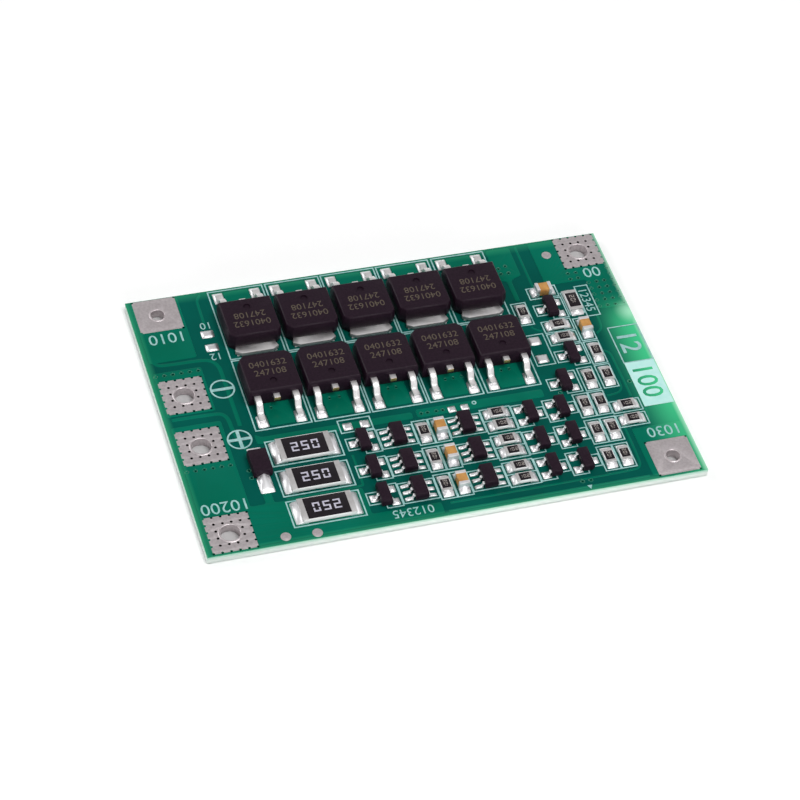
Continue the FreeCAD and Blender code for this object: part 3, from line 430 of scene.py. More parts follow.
holes = [disc(x, y, VIA_RADIUS) for x, y in ALL_VIAS]
holes += [disc(*centre_of(node), bore_of(node) + BARREL_WALL, 40) for node in TERMINALS]
laminate = flat_piece("laminate", [block(LEFT, FRONT, RIGHT, BACK)] + holes, TOP - BASE, BASE)
finish(laminate, mask_bare, "laminate", "circuit_board")
laminate.data.materials.append(sawn_edge)
for face in laminate.data.polygons:
    if abs(face.normal.z) < 0.5:
        face.material_index = 1


# Copper under the mask
# Etched foil of 35 micrometres: broad areas that carry the pack current, and rounded tracks between the
# channels. The mask lies over them, so they show as a lighter, slightly raised green.

FOIL = 0.035
HOLE_MARGIN = 0.25
TERMINAL_OPENING = 1.4


def rounded(corners, radius=0.35, steps=4):
    """The same outline with each corner turned on a radius."""
    points = []
    for index, corner in enumerate(corners):
        here = Vector(corner)
        back = Vector(corners[index - 1]) - here
        ahead = Vector(corners[(index + 1) % len(corners)]) - here
        reach = min(radius, back.length / 2, ahead.length / 2)
        start, end = here + back.normalized() * reach, here + ahead.normalized() * reach
        for step in range(steps + 1):
            part = step / steps
            points.append(tuple(start * (1 - part) ** 2 + here * 2 * part * (1 - part) + end * part ** 2))
    return points


def encloses(corners, x, y):
    """Whether a point lies inside a closed outline."""
    inside = False
    for (x0, y0), (x1, y1) in zip(corners, corners[1:] + corners[:1]):
        if (y0 > y) != (y1 > y) and x < x0 + (y - y0) * (x1 - x0) / (y1 - y0):
            inside = not inside
    return inside


# Outlines, and the width and middle line of each track, from the left front corner of the board
AREAS = [
    block(0.55, 29.7, 6.3, 39.7),
    block(0.55, 21.05, 6.35, 28.1),
    [(0.55, 0.45), (27.9, 0.45), (27.9, 2.1), (19.7, 2.1), (19.7, 6.1), (9.35, 6.1), (9.35, 7.9), (8.35, 7.9),
     (8.35, 6.1), (6.5, 6.1), (6.5, 19.4), (0.55, 19.4)],
    [(9.7, 14.9), (28.6, 14.9), (28.6, 15.95), (10.4, 15.95), (9.7, 16.5)],
    block(29.1, 14.9, 44.9, 16.2),
    [(45.5, 34.45), (46.5, 34.1), (46.5, 30.6), (47.1, 30.6), (47.1, 34.1), (47.6, 34.45), (48.6, 34.7),
     (48.6, 39.65), (45.5, 39.65)],
    [(51.05, 32.4), (56.3, 32.4), (56.3, 27.3), (59.6, 27.3), (59.6, 39.7), (51.05, 39.7)],
    block(53.3, 0.5, 59.5, 7.9),
]
for column in range(5):
    x = 13.45 + 7.07 * column
    AREAS.append(block(x - 1.55, 17.35, x + 1.55, 22.6))
    AREAS.append(block(x - 1.55, 36.4, x + 1.55, 39.35))
TRACKS = [
    (0.5, [(1, 33.6), (1, 30.2), (1.25, 29.45), (2, 29.15), (6.7, 29.15), (7.9, 28.75), (8.45, 27.7),
           (8.5, 26.5), (8.5, 18.1)]),
    (0.5, [(1, 20.6), (6.1, 20.6), (7.05, 20.3), (7.45, 19.4), (7.45, 17.9), (7.9, 15.2), (8.5, 14.1)]),
    (0.34, [(8.45, 33.9), (8.45, 38.2), (8.6, 39), (9.1, 39.5)]),
    (0.32, [(49.4, 39.6), (49.4, 31.9)]),
    (0.3, [(55.6, 26.3), (55.6, 24.9), (55.25, 23.9), (54.5, 23.5)]),
    (0.3, [(54.4, 20.6), (54.9, 20.3), (55.1, 19.5), (55.1, 12.9)]),
    (0.28, [(52.3, 13.55), (53.4, 13.6), (54.2, 13.95), (54.5, 14.7), (54.5, 15.6)]),
    (0.3, [(52.6, 8.9), (52.6, 3.1), (52.25, 2.15), (51.3, 1.75), (28.9, 1.75)]),
    (0.3, [(28.4, 0.62), (52.9, 0.62)]),
    (0.26, [(56.1, 10.7), (56.1, 9.2), (55.7, 8.4)]),
    (0.3, [(20, 11.05), (20, 6.6), (19.8, 6.3), (10.8, 6.3)]),
    (0.26, [(47, 14.7), (47, 15.6), (47.9, 16.5)]),
    (0.26, [(47, 26.1), (47.2, 25.6), (48.1, 25.2)]),
]
UNDERSIDE = [
    block(0.5, 29.6, 9.6, 39.5),
    [(0.5, 20.6), (44.6, 20.6), (44.6, 29), (10.2, 29), (0.5, 29)],
    [(0.5, 0.5), (12.4, 0.5), (12.4, 8.4), (9.4, 8.4), (9.4, 20), (0.5, 20)],
    block(10.2, 29.6, 59.5, 39.5),
    block(45.3, 9, 59.5, 29),
    [(13, 0.5), (52.4, 0.5), (52.4, 8.4), (44.7, 8.4), (44.7, 20), (10, 20), (10, 9),
     (13, 9)],
    block(53, 0.5, 59.5, 8.4),
]
copper = []
for number, corners in enumerate(AREAS + UNDERSIDE):
    corners = [at(x, y) for x, y in corners]
    openings = [disc(x, y, VIA_RADIUS) for x, y in ALL_VIAS
                if all(encloses(corners, x + across, y + along) for across in (-HOLE_MARGIN, HOLE_MARGIN)
                       for along in (-HOLE_MARGIN, HOLE_MARGIN))]
    openings += [disc(*centre_of(node), TERMINAL_OPENING, 32) for node in TERMINALS
                 if encloses(corners, *centre_of(node))]
    level = TOP if number < len(AREAS) else BASE - FOIL
    copper.append(flat_piece(f"area_{number}", [rounded(corners)] + openings, FOIL, level, 0.012))
for number, (width, points) in enumerate(TRACKS):
    curve = bpy.data.curves.new(f"track_{number}", "CURVE")
    curve.dimensions = "3D"
    curve.bevel_depth = width / 2
    curve.bevel_resolution = 3
    curve.use_fill_caps = True
    spline = curve.splines.new("NURBS")
    spline.points.add(len(points) - 1)
    for point, (x, y) in zip(spline.points, points):
        point.co = (*at(x, y), 0, 1)
    spline.order_u = 3
    spline.use_endpoint_u = True
    spline.resolution_u = 6
    track = new_object(f"track_{number}", curve)
    track.scale.z = FOIL / (width / 2)
    track.location.z = TOP
    select_only(track)
    bpy.ops.object.convert(target="MESH")
    bpy.ops.object.transform_apply()
    clean(track)
    copper.append(track)
finish(join(copper, "masked_copper"), mask_copper, "laminate", smooth=40)


# Wire terminals
# Each is a square of tinned copper on both faces, joined by the barrel of the wire hole. The four heavy ones
# are stitched through the board by small plated holes, whose outer row bites into the edge of the land.

def metal(name, dark, light, roughness, grain):
    """Tin, solder or copper: clouded by oxide and slightly uneven, so highlights on it have soft edges."""
    material, tree = new_material(name)
    place, cloud, colour = clouded(tree, dark, light, (0.3, 0.7),
                                   {"Scale": grain, "Detail": 4, "Roughness": 0.6})
    gloss = add_node(tree, "MapRange", {"To Min": roughness - 0.05, "To Max": roughness + 0.05},
                     {"Value": cloud.outputs["Fac"]})
    dents = add_node(tree, "TexNoise", {"Scale": grain * 8, "Detail": 2},
                     {"Vector": place.outputs["Object"]})
    relief = add_node(tree, "Bump", {"Strength": 0.05, "Distance": 0.00002},
                      {"Height": dents.outputs["Fac"]})
    return coated(material, {"Metallic": 1.0}, {"Base Color": colour.outputs["Color"],
                                                "Roughness": gloss.outputs[0], "Normal": relief.outputs[0]})


# Hot tin is greyish and matt on a flat land and near white where solder has flowed. The plating in small
# bores is painted dark, as shade deep inside them.
tinned_land = metal("hot_tinned_copper", "#C9C0C2", "#DED6D8", 0.46, 3200)
bore_shade_plating = metal("hole_plating_painted_dark", "#3A3634", "#4A4542", 0.6, 2000)
tinned_lead = metal("tinned_lead_frame", "#DCD9D9", "#EAE8E8", 0.42, 1500)
wetted_lead = metal("solder_wetted_lead", "#F0EFF1", "#FAF9FB", 0.48, 1500)
solder = metal("frozen_solder", "#F2F1F3", "#FBFAFC", 0.46, 900)

# The tin heaps up into a low collar round the hole. Each point is a way out from the bore and a height: over
# the seat for the collar, over the underside for the foot.
COLLAR = ((0.0, -0.05), (0.02, 0.02), (0.07, 0.05), (0.13, 0.055), (0.2, 0.03), (0.26, -0.004),
          (BARREL_WALL, -0.02))
FOOT = ((BARREL_WALL, 0.004), (0.05, 0.0), (0.03, 0.012), (0.0, 0.05))
RING = 0.1


def turned(name, profile, x, y, steps=40):
    """Spin a closed profile of radii and heights round an upright axis at x and y."""
    mesh = bpy.data.meshes.new(name)
    count = len(profile)
    mesh.from_pydata([(x + radius, y, height) for radius, height in profile],
                     [(index, (index + 1) % count) for index in range(count)], [])
    piece = new_object(name, mesh)
    open_mesh(piece)
    bpy.ops.mesh.spin(steps=steps, angle=2 * math.pi, center=(x, y, 0), axis=(0, 0, 1))
    bpy.ops.object.mode_set(mode="OBJECT")
    clean(piece)
    return piece


def stitched_square(x, y, half, inset, stops):
    """A square outline with a round bite where each hole of the outer row breaks its edge."""
    lean = math.asin(inset / VIA_RADIUS)
    outline = []
    for quarter in range(4):
        turn = Matrix.Rotation(quarter * math.pi / 2, 2)
        for place in stops:
            corner = place == GRID[-1]
            first, last = math.pi + lean, (math.pi / 2 - lean if corner else -lean)
            for step in range(7):
                angle = first + (last - first) * step / 6
                point = turn @ Vector((place + VIA_RADIUS * math.cos(angle),
                                       inset - half + VIA_RADIUS * math.sin(angle)))
                outline.append((x + point.x, y + point.y))
    return outline


for node in TERMINALS:
    x, y = centre_of(node)
    low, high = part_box(node)
    half = (high.x - low.x) / MM / 2
    inset = half - GRID[-1]
    bore = bore_of(node)
    stops, stitches = GRID[-1:], []
    if node in HEAVY_TERMINALS:
        stops = GRID[1:]
        stitches = [disc(*place, VIA_RADIUS) for place in pad_vias
                    if abs(place[0] - x) < half and abs(place[1] - y) < half]
    outlines = [stitched_square(x, y, half, inset, stops), disc(x, y, bore + RING, 40)] + stitches
    parts = [flat_piece("land", outlines, LAND, base, 0.015) for base in (0.0, TOP)]
    profile = [(bore + out, SEAT + rise) for out, rise in COLLAR] + [(bore + out, rise) for out, rise in FOOT]
    parts.append(turned("barrel", profile, x, y))
    finish(join(parts, node + "_dressed"), tinned_land, "tinned_copper", node, smooth=40)


# Stitching holes
# Small holes drilled through the board and plated, so the two faces share the current. Those in a land are
# tinned with it; those in the open copper are sealed by the mask and show as little green rings.

PLATING = 0.02
INNER, OUTER = VIA_RADIUS - PLATING, VIA_RADIUS + 0.002
CROWNS = {"land": ((INNER, SEAT - 0.02), (OUTER, SEAT - 0.012)),
          "mask": ((INNER, TOP), (VIA_RADIUS, TOP + 0.03), (VIA_RADIUS + 0.06, TOP + FOIL + 0.03),
                   (VIA_RADIUS + 0.15, TOP - 0.01), (OUTER, TOP - 0.03)),
          "edge": ((INNER, TOP + 0.01), (VIA_RADIUS + 0.02, TOP + 0.02), (VIA_RADIUS + 0.02, TOP - 0.02),
                   (OUTER, TOP - 0.03))}


def copies(piece, places, name):
    """Copy a piece to each place, and make the copies one piece."""
    made = []
    for x, y in places:
        mesh = piece.data.copy()
        mesh.transform(Matrix.Translation((x, y, 0)))
        made.append(new_object(name, mesh))
    bpy.data.objects.remove(piece)
    return join(made, name)


# The sleeves of the holes in the lands are painted dark, as shade deep in their bores
for kind, places, material, slot in (("land", pad_vias, bore_shade_plating, "tinned_copper"),
                                     ("mask", covered_vias, mask_rim, "laminate"),
                                     ("edge", land_edge_vias, mask_bare, "laminate")):
    sleeve = turned("sleeve", [(INNER, 0.01), *CROWNS[kind], (OUTER, 0.0)], 0, 0, 12)
    finish(copies(sleeve, places, kind + "_stitches"), material, slot, smooth=60)


# Legend
# White ink screened over the mask and tinted by it: frames round the parts, rings for polarity, terminal
# numbers and a label panel at the right. Most of it is read from the far side, so it stands upside down.

INK = 0.016
INK_BASE = TOP + FOIL - 0.003
LINE = 0.17
THIN_LINE = 0.15
FIGURE_SHARE = 0.69
# Half the length and half the width of the frame round each kind of part
CHIP_FRAME, LONG_CHIP_FRAME = (1.85, 0.925), (2.4, 1.05)
BALANCE_FRAME, CONTROLLER_FRAME = (4.25, 1.9), (2.15, 1.5)
LONG_CHIP = 3.6
LEG_REACH = (1.8, 1.4)


def screened(name, dark, light, top_stop, roughness, grain):
    """Screened ink: matt, and thin enough in places to let the green of the mask through."""
    material, tree = new_material(name)
    colour = clouded(tree, dark, light, (0.3, top_stop), {"Scale": grain, "Detail": 3})[2]
    return coated(material, {"Roughness": roughness}, {"Base Color": colour.outputs["Color"]})


legend_ink = screened("screened_legend_ink", "#84B8B6", "#A6D0CE", 0.62, 0.6, 1600)
panel_ink = screened("thick_legend_ink", "#B4EAE4", "#C8F2EC", 0.7, 0.55, 900)


def frame_of(loop, line):
    """The two outlines of a line drawn along a closed path, outer and inner."""
    count = len(loop)
    turns = sum(x0 * y1 - x1 * y0 for (x0, y0), (x1, y1) in zip(loop[-1:] + loop[:-1], loop))
    outer, inner = [], []
    for index, corner in enumerate(loop):
        here, back, ahead = Vector(corner), Vector(loop[index - 1]), Vector(loop[(index + 1) % count])
        one, two = (here - back).normalized(), (ahead - here).normalized()
        side = Vector((one.y, -one.x)) + Vector((two.y, -two.x))
        side *= (1 if turns > 0 else -1) * line / 2 / (1 + one.dot(two))
        outer.append(tuple(here + side))
        inner.append(tuple(here - side))
    return [outer, inner]


def words(text, x, y, height, turn=180, weight=0.0, base=INK_BASE, depth=INK):
    """Characters of a given height centred on a point, turned in degrees, as a thin plate."""
    bpy.ops.object.text_add()
    piece = bpy.context.active_object
    piece.data.body = text
    piece.data.align_x, piece.data.align_y = "CENTER", "CENTER"
    piece.data.size = height / FIGURE_SHARE
    piece.data.offset = weight
    piece.data.extrude = depth / 2
    piece.data.resolution_u = 3
    bpy.ops.object.convert(target="MESH")
    piece = bpy.context.active_object
    middle = (Vector(piece.bound_box[0]) + Vector(piece.bound_box[6])) / 2
    spin = Matrix.Rotation(math.radians(turn), 4, "Z")
    piece.data.transform(Matrix.Translation((x, y, base + depth / 2)) @ spin
                         @ Matrix.Translation((-middle.x, -middle.y, 0)))
    return piece


def islands(node):
    """The lowest and highest corners of each separate solid of a CAD node, in millimetres."""
    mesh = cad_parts[node].data
    keys, owner = {}, []
    for vertex in mesh.vertices:
        key = tuple(round(value / MM, 3) for value in vertex.co)
        owner.append(keys.setdefault(key, len(keys)))
    parent = list(range(len(keys)))

    def root(item):
        while parent[item] != item:
            parent[item] = parent[parent[item]]
            item = parent[item]
        return item

    for edge in mesh.edges:
        parent[root(owner[edge.vertices[0]])] = root(owner[edge.vertices[1]])
    groups = {}
    for key, item in keys.items():
        groups.setdefault(root(item), []).append(key)
    return [(Vector(map(min, zip(*points))), Vector(map(max, zip(*points)))) for points in groups.values()]


heavy_frames = []
for left, right in ((10.07, 16.8), (17.2, 23.87), (24.2, 30.93), (31.27, 37.93), (38.4, 45.1)):
    for near, far in ((16.93, 28.16), (28.43, 39.67)):
        heavy_frames.append(block(*at(left, near), *at(right, far)))
drawn = []
for node in ("chip_resistor_bodies", "capacitor_bodies", "balance_resistor_body_1", "balance_resistor_body_2",
             "balance_resistor_body_3"):
    for low, high in islands(node):
        middle, size = (low + high) / 2, high - low
        long, short = LONG_CHIP_FRAME if max(size.x, size.y) > LONG_CHIP else CHIP_FRAME
        if "balance" in node:
            long, short = BALANCE_FRAME
        if size.y > size.x:
            long, short = short, long
        frames = heavy_frames if "balance" in node else drawn
        frames.append(block(middle.x - long, middle.y - short, middle.x + long, middle.y + short))
for number in range(1, 7):
    x, y = centre_of(f"controller_body_{number}")
    long, short = CONTROLLER_FRAME
    drawn.append(block(x - long, y - short, x + long, y + short))
legs = [(low + high) / 2 for low, high in islands("transistor_leads")]
for low, high in islands("transistor_bodies"):
    middle = (low + high) / 2
    near = [leg.x > middle.x for leg in legs
            if abs(leg.x - middle.x) < LEG_REACH[0] and abs(leg.y - middle.y) < LEG_REACH[1]]
    side = 1 if sum(near) > 1 else -1
    # A broad end round the two legs and a narrow one round the single leg
    outline = ((1.9, -1.7), (1.9, 1.7), (0, 1.7), (0, 0.88), (-1.9, 0.88), (-1.9, -0.88), (0, -0.88),
               (0, -1.7))
    drawn.append([(middle.x + side * across, middle.y + along) for across, along in outline])
for low, high in (((19.67, 14.47), (23.53, 16.4)), ((45.65, 19.75), (47.95, 24.76)),
                  ((54.4, 26.4), (56.05, 31.5)), ((56.1, 18.05), (59.85, 23.96))):
    drawn.append(block(*at(*low), *at(*high)))
# Frames of close neighbours cross, so each lies a micron above or below the last
ink_pieces = [flat_piece("line", frame_of(loop, LINE if index < len(heavy_frames) else THIN_LINE), INK,
                         INK_BASE + index % 5 * 0.001) for index, loop in enumerate(heavy_frames + drawn)]
bar = block(-1.27, -0.2, 1.27, 0.2)
cross = [tuple(Matrix.Rotation(step * math.pi / 2, 2) @ Vector(point)) for step in range(4)
         for point in ((0.2, -1.27), (0.2, -0.2), (1.27, -0.2))]
signs = []
for (x, y), sign in ((at(7.93, 24.1), bar), (at(7.9, 16.1), cross)):
    signs.append([disc(x, y, 1.48, 48), disc(x, y, 1.28, 48)])
    signs.append([[(x + across, y + along) for across, along in sign]])
x, y = at(36.3, 15.8)
signs.append([disc(x, y, 0.3, 20), disc(x, y, 0.14, 20)])
x, y = at(45.5, 0.45)
signs.append([[(x - 0.3, y + 0.3), (x + 0.3, y + 0.3), (x, y - 0.3)]])
ink_pieces += [flat_piece("sign", loops, INK, INK_BASE) for loops in signs]
for text, x, y, height in (("1010", 3.4, 33.35, 1.6), ("10200", 3.55, 6.65, 1.6), ("00", 57.45, 33.5, 1.6),
                           ("1030", 56.85, 6.85, 1.5), ("10", 8.4, 34.4, 1.05), ("12", 8.4, 29.3, 1.05),
                           ("012345", 24.4, 1.4, 1.15)):
    ink_pieces.append(words(text, *at(x, y), height))
ink_pieces.append(words("12345", *at(55.2, 28.95), 1.1, turn=-90))
ink_pieces.append(words("12", *at(57.95, 21.0), 2.5, turn=-90, weight=0.03))
finish(join(ink_pieces, "legend"), legend_ink, "laminate")
panel = flat_piece("legend_panel", [block(*at(56.1, 10.9), *at(59.85, 18.05))], INK, INK_BASE - 0.001)
finish(panel, panel_ink, "laminate")
number = words("100", *at(57.95, 14.5), 2.5, turn=-90, weight=0.03, base=INK_BASE + INK - 0.003, depth=0.006)
finish(join([number], "panel_number"), mask_copper, "laminate")


# Power transistors
# Ten flat packages in two rows, feet outwards. Each is a black moulded block on a tinned copper frame: a
# wide tab at one side, two formed legs at the other, and between them the stub of the cut middle leg.

EDGE = 0.035
DIMPLE_RADIUS, DIMPLE_DEPTH, DIMPLE_IN = 0.45, 0.16, 1.5
MARK_HEIGHT = 0.9
STUB_HALF_WIDTH, STUB_REACH = 0.5, 1.5
MARKS = (("247108", 2.85), ("0401632", 4.2))


def plastic(name, dark, light, roughness):
    """Moulded epoxy filled with fine silica: nearly black and dull, with a faint speckle."""
    material, tree = new_material(name)
    _, speckle, colour = clouded(tree, dark, light, (0.35, 0.7),
                                 {"Scale": 3500, "Detail": 4, "Roughness": 0.7})
    relief = add_node(tree, "Bump", {"Strength": 0.35, "Distance": 0.00003},
                      {"Height": speckle.outputs["Fac"]})
    return coated(material, {"Roughness": roughness, "Specular IOR Level": 0.15},
                  {"Base Color": colour.outputs["Color"], "Normal": relief.outputs[0]})


# A laser burns the marks into the mould compound, and they show as a dull brown-grey. The tab is rolled tin,
# greyer than the legs, and where the middle leg was sheared off its bare copper shows.
mould_compound = plastic("moulded_epoxy", "#1D0F1B", "#281825", 0.42)
mark_ink = plastic("laser_mark", "#51483F", "#685E51", 0.6)
tinned_tab = metal("tinned_heat_tab", "#B9B3B3", "#C8C2C2", 0.6, 1500)
cut_copper = metal("sheared_copper", "#D8A768", "#EBC48A", 0.45, 1500)


def softened(node, width):
    """A copy of a CAD node with its sharp edges rounded, in millimetres."""
    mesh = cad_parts[node].data.copy()
    mesh.transform(Matrix.Scale(1 / MM, 4))
    piece = new_object(node + "_dressed", mesh)
    select_only(piece)
    bpy.ops.mesh.customdata_custom_splitnormals_clear()
    open_mesh(piece)
    bpy.ops.mesh.remove_doubles(threshold=0.001)
    bpy.ops.mesh.dissolve_limited(angle_limit=math.radians(1))
    bpy.ops.object.mode_set(mode="OBJECT")
    bevel = piece.modifiers.new("edges", "BEVEL")
    bevel.width = width
    bevel.segments = 2
    bevel.limit_method = "ANGLE"
    bevel.angle_limit = math.radians(35)
    bpy.ops.object.modifier_apply(modifier=bevel.name)
    return piece


def press_dimple(body, x, y, top):
    """Cut the round mark of the ejector pin into the top of a moulded body."""
    depth = 0.4
    bpy.ops.mesh.primitive_cylinder_add(vertices=24, radius=DIMPLE_RADIUS, depth=depth,
                                        location=(x, y, top - DIMPLE_DEPTH + depth / 2))
    cutter = bpy.context.active_object
    bpy.ops.object.transform_apply()
    cut = body.modifiers.new("dimple", "BOOLEAN")
    cut.operation = "DIFFERENCE"
    cut.object = cutter
    cut.solver = "EXACT"
    select_only(body)
    bpy.ops.object.modifier_apply(modifier=cut.name)
    bpy.data.objects.remove(cutter)


for number in range(1, 11):
    low, high = (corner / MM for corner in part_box(f"power_body_{number}"))
    middle = (low.x + high.x) / 2
    side = 1 if number > 5 else -1
    foot_edge, tab_edge = (high.y, low.y) if side > 0 else (low.y, high.y)
    body = softened(f"power_body_{number}", EDGE)
    press_dimple(body, middle, foot_edge - side * DIMPLE_IN, high.z)
    finish(body, mould_compound, "mould_compound", f"power_body_{number}", smooth=35)
    leads = softened(f"power_frame_{number}", EDGE)
    finish(leads, tinned_lead, "tinned_lead", f"power_frame_{number}", smooth=35)
    leads.data.materials.append(cut_copper)
    leads.data.materials.append(tinned_tab)
    for face in leads.data.polygons:
        beyond = (face.center.y / MM - foot_edge) * side
        aside = abs(face.center.x / MM - middle)
        if face.normal.y * side > 0.9 and aside < STUB_HALF_WIDTH and 0 < beyond < STUB_REACH:
            face.material_index = 1
        elif (face.center.y / MM - tab_edge) * side < 0:
            face.material_index = 2
    marks = [words(text, middle, foot_edge - side * way_in, MARK_HEIGHT, 180 if side > 0 else 0,
                   base=high.z - 0.004, depth=0.01) for text, way_in in MARKS]
    finish(join(marks, f"power_mark_{number}"), mark_ink, "mould_compound")


# Small packages
# Six controllers on six legs each and twelve three-legged transistors, all moulded black and set down on
# their own formed legs. The diode is a small moulded block on two strips.

for node in [f"controller_body_{number}" for number in range(1, 7)] + ["transistor_bodies", "diode_body"]:
    finish(softened(node, 0.04), mould_compound, "mould_compound", node, smooth=35)
for node in [f"controller_leads_{number}" for number in range(1, 7)] + ["transistor_leads", "diode_leads"]:
    finish(softened(node, 0.045), wetted_lead, "tinned_lead", node, smooth=40)


# Chip resistors and capacitors
# White alumina chips with a black glazed top and tinned ends, three of them large, and tan ceramic
# capacitors. All are held by the solder at their ends alone.

GAP = 0.004
SEGMENTS = {"0": "abcdef", "1": "bc", "2": "abged", "5": "afgcd"}


def ceramic(name, dark, light, roughness, grain):
    """Fired ceramic or glass glaze: close-grained and faintly mottled."""
    material, tree = new_material(name)
    _, mottle, colour = clouded(tree, dark, light, (0.35, 0.68), {"Scale": grain, "Detail": 5})
    relief = add_node(tree, "Bump", {"Strength": 0.3, "Distance": 0.00002},
                      {"Height": mottle.outputs["Fac"]})
    return coated(material, {"Roughness": roughness, "Specular IOR Level": 0.3},
                  {"Base Color": colour.outputs["Color"], "Normal": relief.outputs[0]})


# Alumina is dead white, the glaze over it glossy and black, the capacitors' titanate a warm tan. The figures
# are printed pale on the large resistors and duller on the small ones.
alumina = ceramic("fired_alumina", "#F1F1F1", "#FAFAFA", 0.5, 1500)
glaze = ceramic("black_resistor_glaze", "#120B13", "#1B141B", 0.32, 2500)
tan_ceramic = ceramic("capacitor_ceramic", "#B98447", "#CF9A58", 0.35, 1200)
digit_ink = ceramic("resistor_digit_print", "#B8B5C6", "#CBC8D6", 0.5, 2000)
faint_ink = ceramic("faint_digit_print", "#9A928E", "#ACA49F", 0.5, 2000)
chips = []
for number in (1, 2, 3):
    chips += [(f"balance_resistor_body_{number}", 0.01, alumina, "alumina"),
              (f"balance_resistor_ends_{number}", 0.015, tinned_lead, "tinned_lead")]
chips += [("balance_resistor_glaze", 0.01, glaze, "resistor_glaze"),
          ("chip_resistor_bodies", 0.01, alumina, "alumina"),
          ("chip_resistor_ends", 0.012, tinned_lead, "tinned_lead"),
          ("chip_resistor_glaze", 0.012, glaze, "resistor_glaze"),
          ("capacitor_bodies", 0.02, tan_ceramic, "capacitor_ceramic"),
          ("capacitor_ends", 0.015, wetted_lead, "tinned_lead")]
for node, width, material, slot in chips:
    finish(softened(node, width), material, slot, node, smooth=35)


def printed(number, x, y, height, turn, base, stroke):
    """A number in plain bars, as a stencil prints it, turned in degrees round its middle."""
    wide = height * 0.62
    spin = Matrix.Rotation(math.radians(turn), 2)
    bars = []
    for place, digit in enumerate(number):
        left = (place - (len(number) - 1) / 2) * (wide + stroke * 1.9) - wide / 2
        for segment in SEGMENTS[digit]:
            if segment in "agd":
                level = (0.5, 0.0, -0.5)["agd".index(segment)] * (height - stroke)
                bar = block(left, level - stroke / 2, left + wide, level + stroke / 2)
            else:
                column = left if segment in "fe" else left + wide - stroke
                foot = stroke / 2 + GAP if segment in "fb" else -height / 2 + stroke + GAP
                bar = block(column, foot, column + stroke, foot + height / 2 - 1.5 * stroke - 2 * GAP)
            bars.append([(x + point.x, y + point.y) for point in (spin @ Vector(corner) for corner in bar)])
    return flat_piece("number", bars, 0.01, base)


prints, faint_prints = [], []
glaze_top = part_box("balance_resistor_glaze")[1].z / MM
for number in (1, 2, 3):
    turn = 180 if number == 1 else 0
    x, y = centre_of(f"balance_resistor_body_{number}")
    prints.append(printed("250", x, y, 1.35, turn, glaze_top - 0.002, 0.2))
for low, high in islands("chip_resistor_glaze"):
    middle, size = (low + high) / 2, high - low
    figure = 0.44 * min(size.x, size.y)
    turn = 90 if size.y > size.x else 0
    faint_prints.append(printed("102", middle.x, middle.y, figure, turn, high.z - 0.002, 0.15 * figure))
finish(join(prints, "balance_prints"), digit_ink, "resistor_glaze")
finish(join(faint_prints, "chip_prints"), faint_ink, "resistor_glaze")


# Solder
# Paste printed on the lands, melted and frozen. It domes over a bare land, and where a part stands on the
# land it climbs from the edge of the land up to the part in a hollow slope.

CLIMB = {"chip_resistor_ends": 0.36, "capacitor_ends": 0.5,
         **{f"balance_resistor_ends_{number}": 0.5 for number in (1, 2, 3)},
         "transistor_leads": 0.16, "diode_leads": 0.62,
         **{f"controller_leads_{number}": 0.1 for number in range(1, 7)},
         **{f"power_frame_{number}": 0.2 for number in range(1, 11)}}
DOME = 0.1
CONTROLLER_JOINT = 0.46
TAB_LAND_AREA = 16
TAB_INSET = 0.1
TAB_CLIMB = 0.015
DIODE_ENDS = [end.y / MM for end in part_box("diode_body")]
DIODE_TAPER = 0.42
NEAR = 0.1
CONTROLLERS = [centre_of(f"controller_body_{number}") for number in range(1, 7)]
CONTROLLER_REACH = (2, 1.3)

bpy.ops.mesh.primitive_grid_add(x_subdivisions=6, y_subdivisions=6, size=2)
pad = bpy.context.active_object
open_mesh(pad)
bpy.ops.mesh.select_mode(type="EDGE")
bpy.ops.mesh.region_to_loop()
bpy.ops.mesh.extrude_edges_move(TRANSFORM_OT_translate={"value": (0, 0, -1)})
bpy.ops.mesh.edge_face_add()
bpy.ops.mesh.select_all(action="SELECT")
bpy.ops.mesh.normals_make_consistent(inside=False)
bpy.ops.object.mode_set(mode="OBJECT")


def stations(low, high, near, far):
    """Where the seven lines of a pad's grid fall across a land: one lies along each face of the part."""
    near, far = max(near, low + 0.02), min(far, high - 0.02)
    before, after = near - low, high - far
    counts = (4, 1, 1) if before > 2 * after else (1, 1, 4) if after > 2 * before else (2, 2, 2)
    first, second, third = counts
    lines = [low + before * math.sin(step / first * math.pi / 2) for step in range(first)]
    lines += [near + (far - near) * step / second for step in range(second)]
    return lines + [far + after * (1 - math.cos(step / third * math.pi / 2)) for step in range(third + 1)]


def beyond_face(place, low, high, start, end):
    """How far a place lies from a part's face towards the edge of the land, from 0 to 1."""
    if place > high:
        return (place - high) / max(end - high, 0.05)
    return max((low - place) / max(low - start, 0.05), 0)


def trimmed(low, high):
    """The corners of a land's joint: the whole land, unless a part hides some of it or the paste is scant."""
    middle = (low + high) / 2
    if abs(middle.x - centre_of("diode_body")[0]) < NEAR:
        if high.y < DIODE_ENDS[0] + NEAR:
            high.y = DIODE_ENDS[0]
        elif low.y > DIODE_ENDS[1] - NEAR:
            low.y = DIODE_ENDS[1]
    if any(abs(middle.x - x) < CONTROLLER_REACH[0] and abs(middle.y - y) < CONTROLLER_REACH[1]
           for x, y in CONTROLLERS):
        low.y, high.y = middle.y - CONTROLLER_JOINT / 2, middle.y + CONTROLLER_JOINT / 2
    return low, high


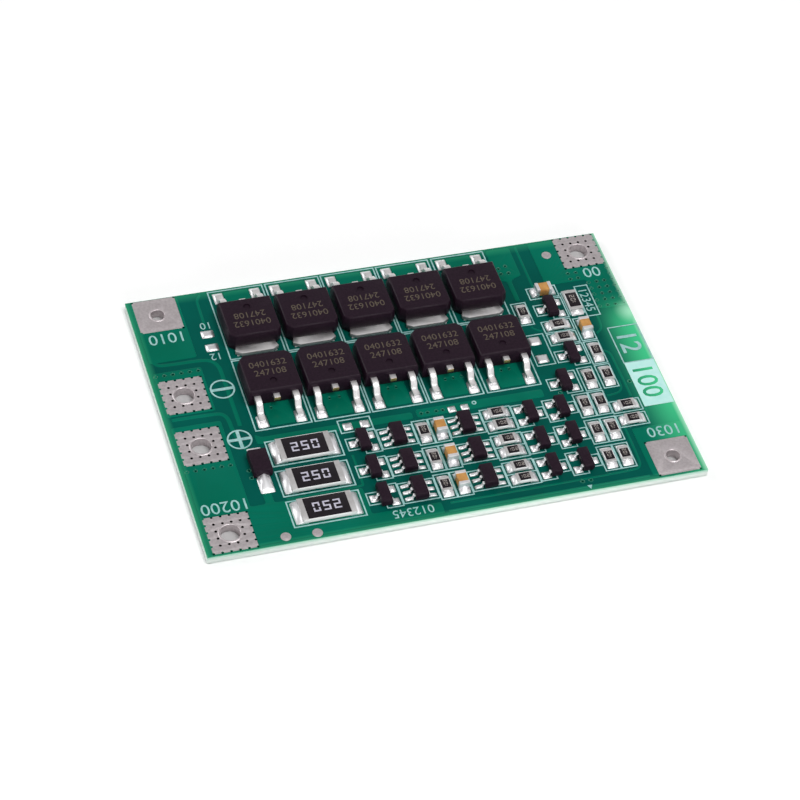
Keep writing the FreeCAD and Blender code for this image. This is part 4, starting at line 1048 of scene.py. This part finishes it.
feet = [(low, high, climb) for node, climb in CLIMB.items() for low, high in islands(node)]
joints = []
for low, high in islands("solder_lands"):
    low, high = trimmed(low, high)
    on_it = [(Vector(map(max, start.xy, low.xy)), Vector(map(min, end.xy, high.xy)), climb)
             for start, end, climb in feet
             if start.x < high.x and end.x > low.x and start.y < high.y and end.y > low.y]
    # The tab of a power transistor all but hides the solder below it
    under_tab = (high.x - low.x) * (high.y - low.y) > TAB_LAND_AREA
    if under_tab:
        low.x, low.y = (max(value, face + TAB_INSET) for value, face in zip(low.xy, on_it[0][0]))
        high.x, high.y = (min(value, face - TAB_INSET) for value, face in zip(high.xy, on_it[0][1]))
    half = (high - low) / 2
    middle = (low + high) / 2
    first = on_it[0] if on_it else (low + half * 0.7, high - half * 0.7)
    across = stations(low.x, high.x, first[0].x, first[1].x)
    along = stations(low.y, high.y, first[0].y, first[1].y)
    mesh = pad.data.copy()
    for vertex in mesh.vertices:
        column, row = round((vertex.co.x + 1) * 3), round((vertex.co.y + 1) * 3)
        place_x, place_y = across[column], along[row]
        x, y = (place_x - low.x) / half.x - 1, (place_y - low.y) / half.y - 1
        edge = max(abs(x), abs(y))
        if vertex.co.z < -0.5:
            height = TOP - 0.01
        elif on_it and on_it[0][2] == CLIMB["diode_leads"]:
            # The joints of the diode climb all the way to its body, and narrow as they rise
            slope = (y + 1) / 2 if DIODE_ENDS[0] > middle.y else (1 - y) / 2
            height = SEAT + CLIMB["diode_leads"] * slope ** 0.8 * math.sqrt(1 - 0.9 * abs(x) ** 3)
            x *= 1 - DIODE_TAPER * slope
        elif on_it:
            rise = 0.0
            for start, end, climb in on_it:
                away = min(1.0, math.hypot(beyond_face(place_x, start.x, end.x, low.x, high.x),
                                           beyond_face(place_y, start.y, end.y, low.y, high.y)))
                climb = min(climb, TAB_CLIMB) if under_tab else climb
                rounding = math.sqrt(1 - 0.999 * edge ** 6)
                rise = max(rise, climb * (1 - away ** 1.6) ** 0.85 * rounding)
            height = TOP + LAND * (1 if edge < 0.99 else 0.4) + rise
        else:
            height = TOP + LAND * 0.5 + DOME * (1 - edge ** 3)
        corner = 1 - 0.04 * min(abs(x), abs(y)) ** 4
        vertex.co = (middle.x + x * half.x * corner, middle.y + y * half.y * corner, height)
    joints.append(new_object("joint", mesh))
bpy.data.objects.remove(pad)
finish(join(joints, "solder"), solder, "tinned_copper", "solder_lands", smooth=85)
finish(softened("test_points", 0.02), tinned_land, "tinned_copper", "test_points", smooth=40)
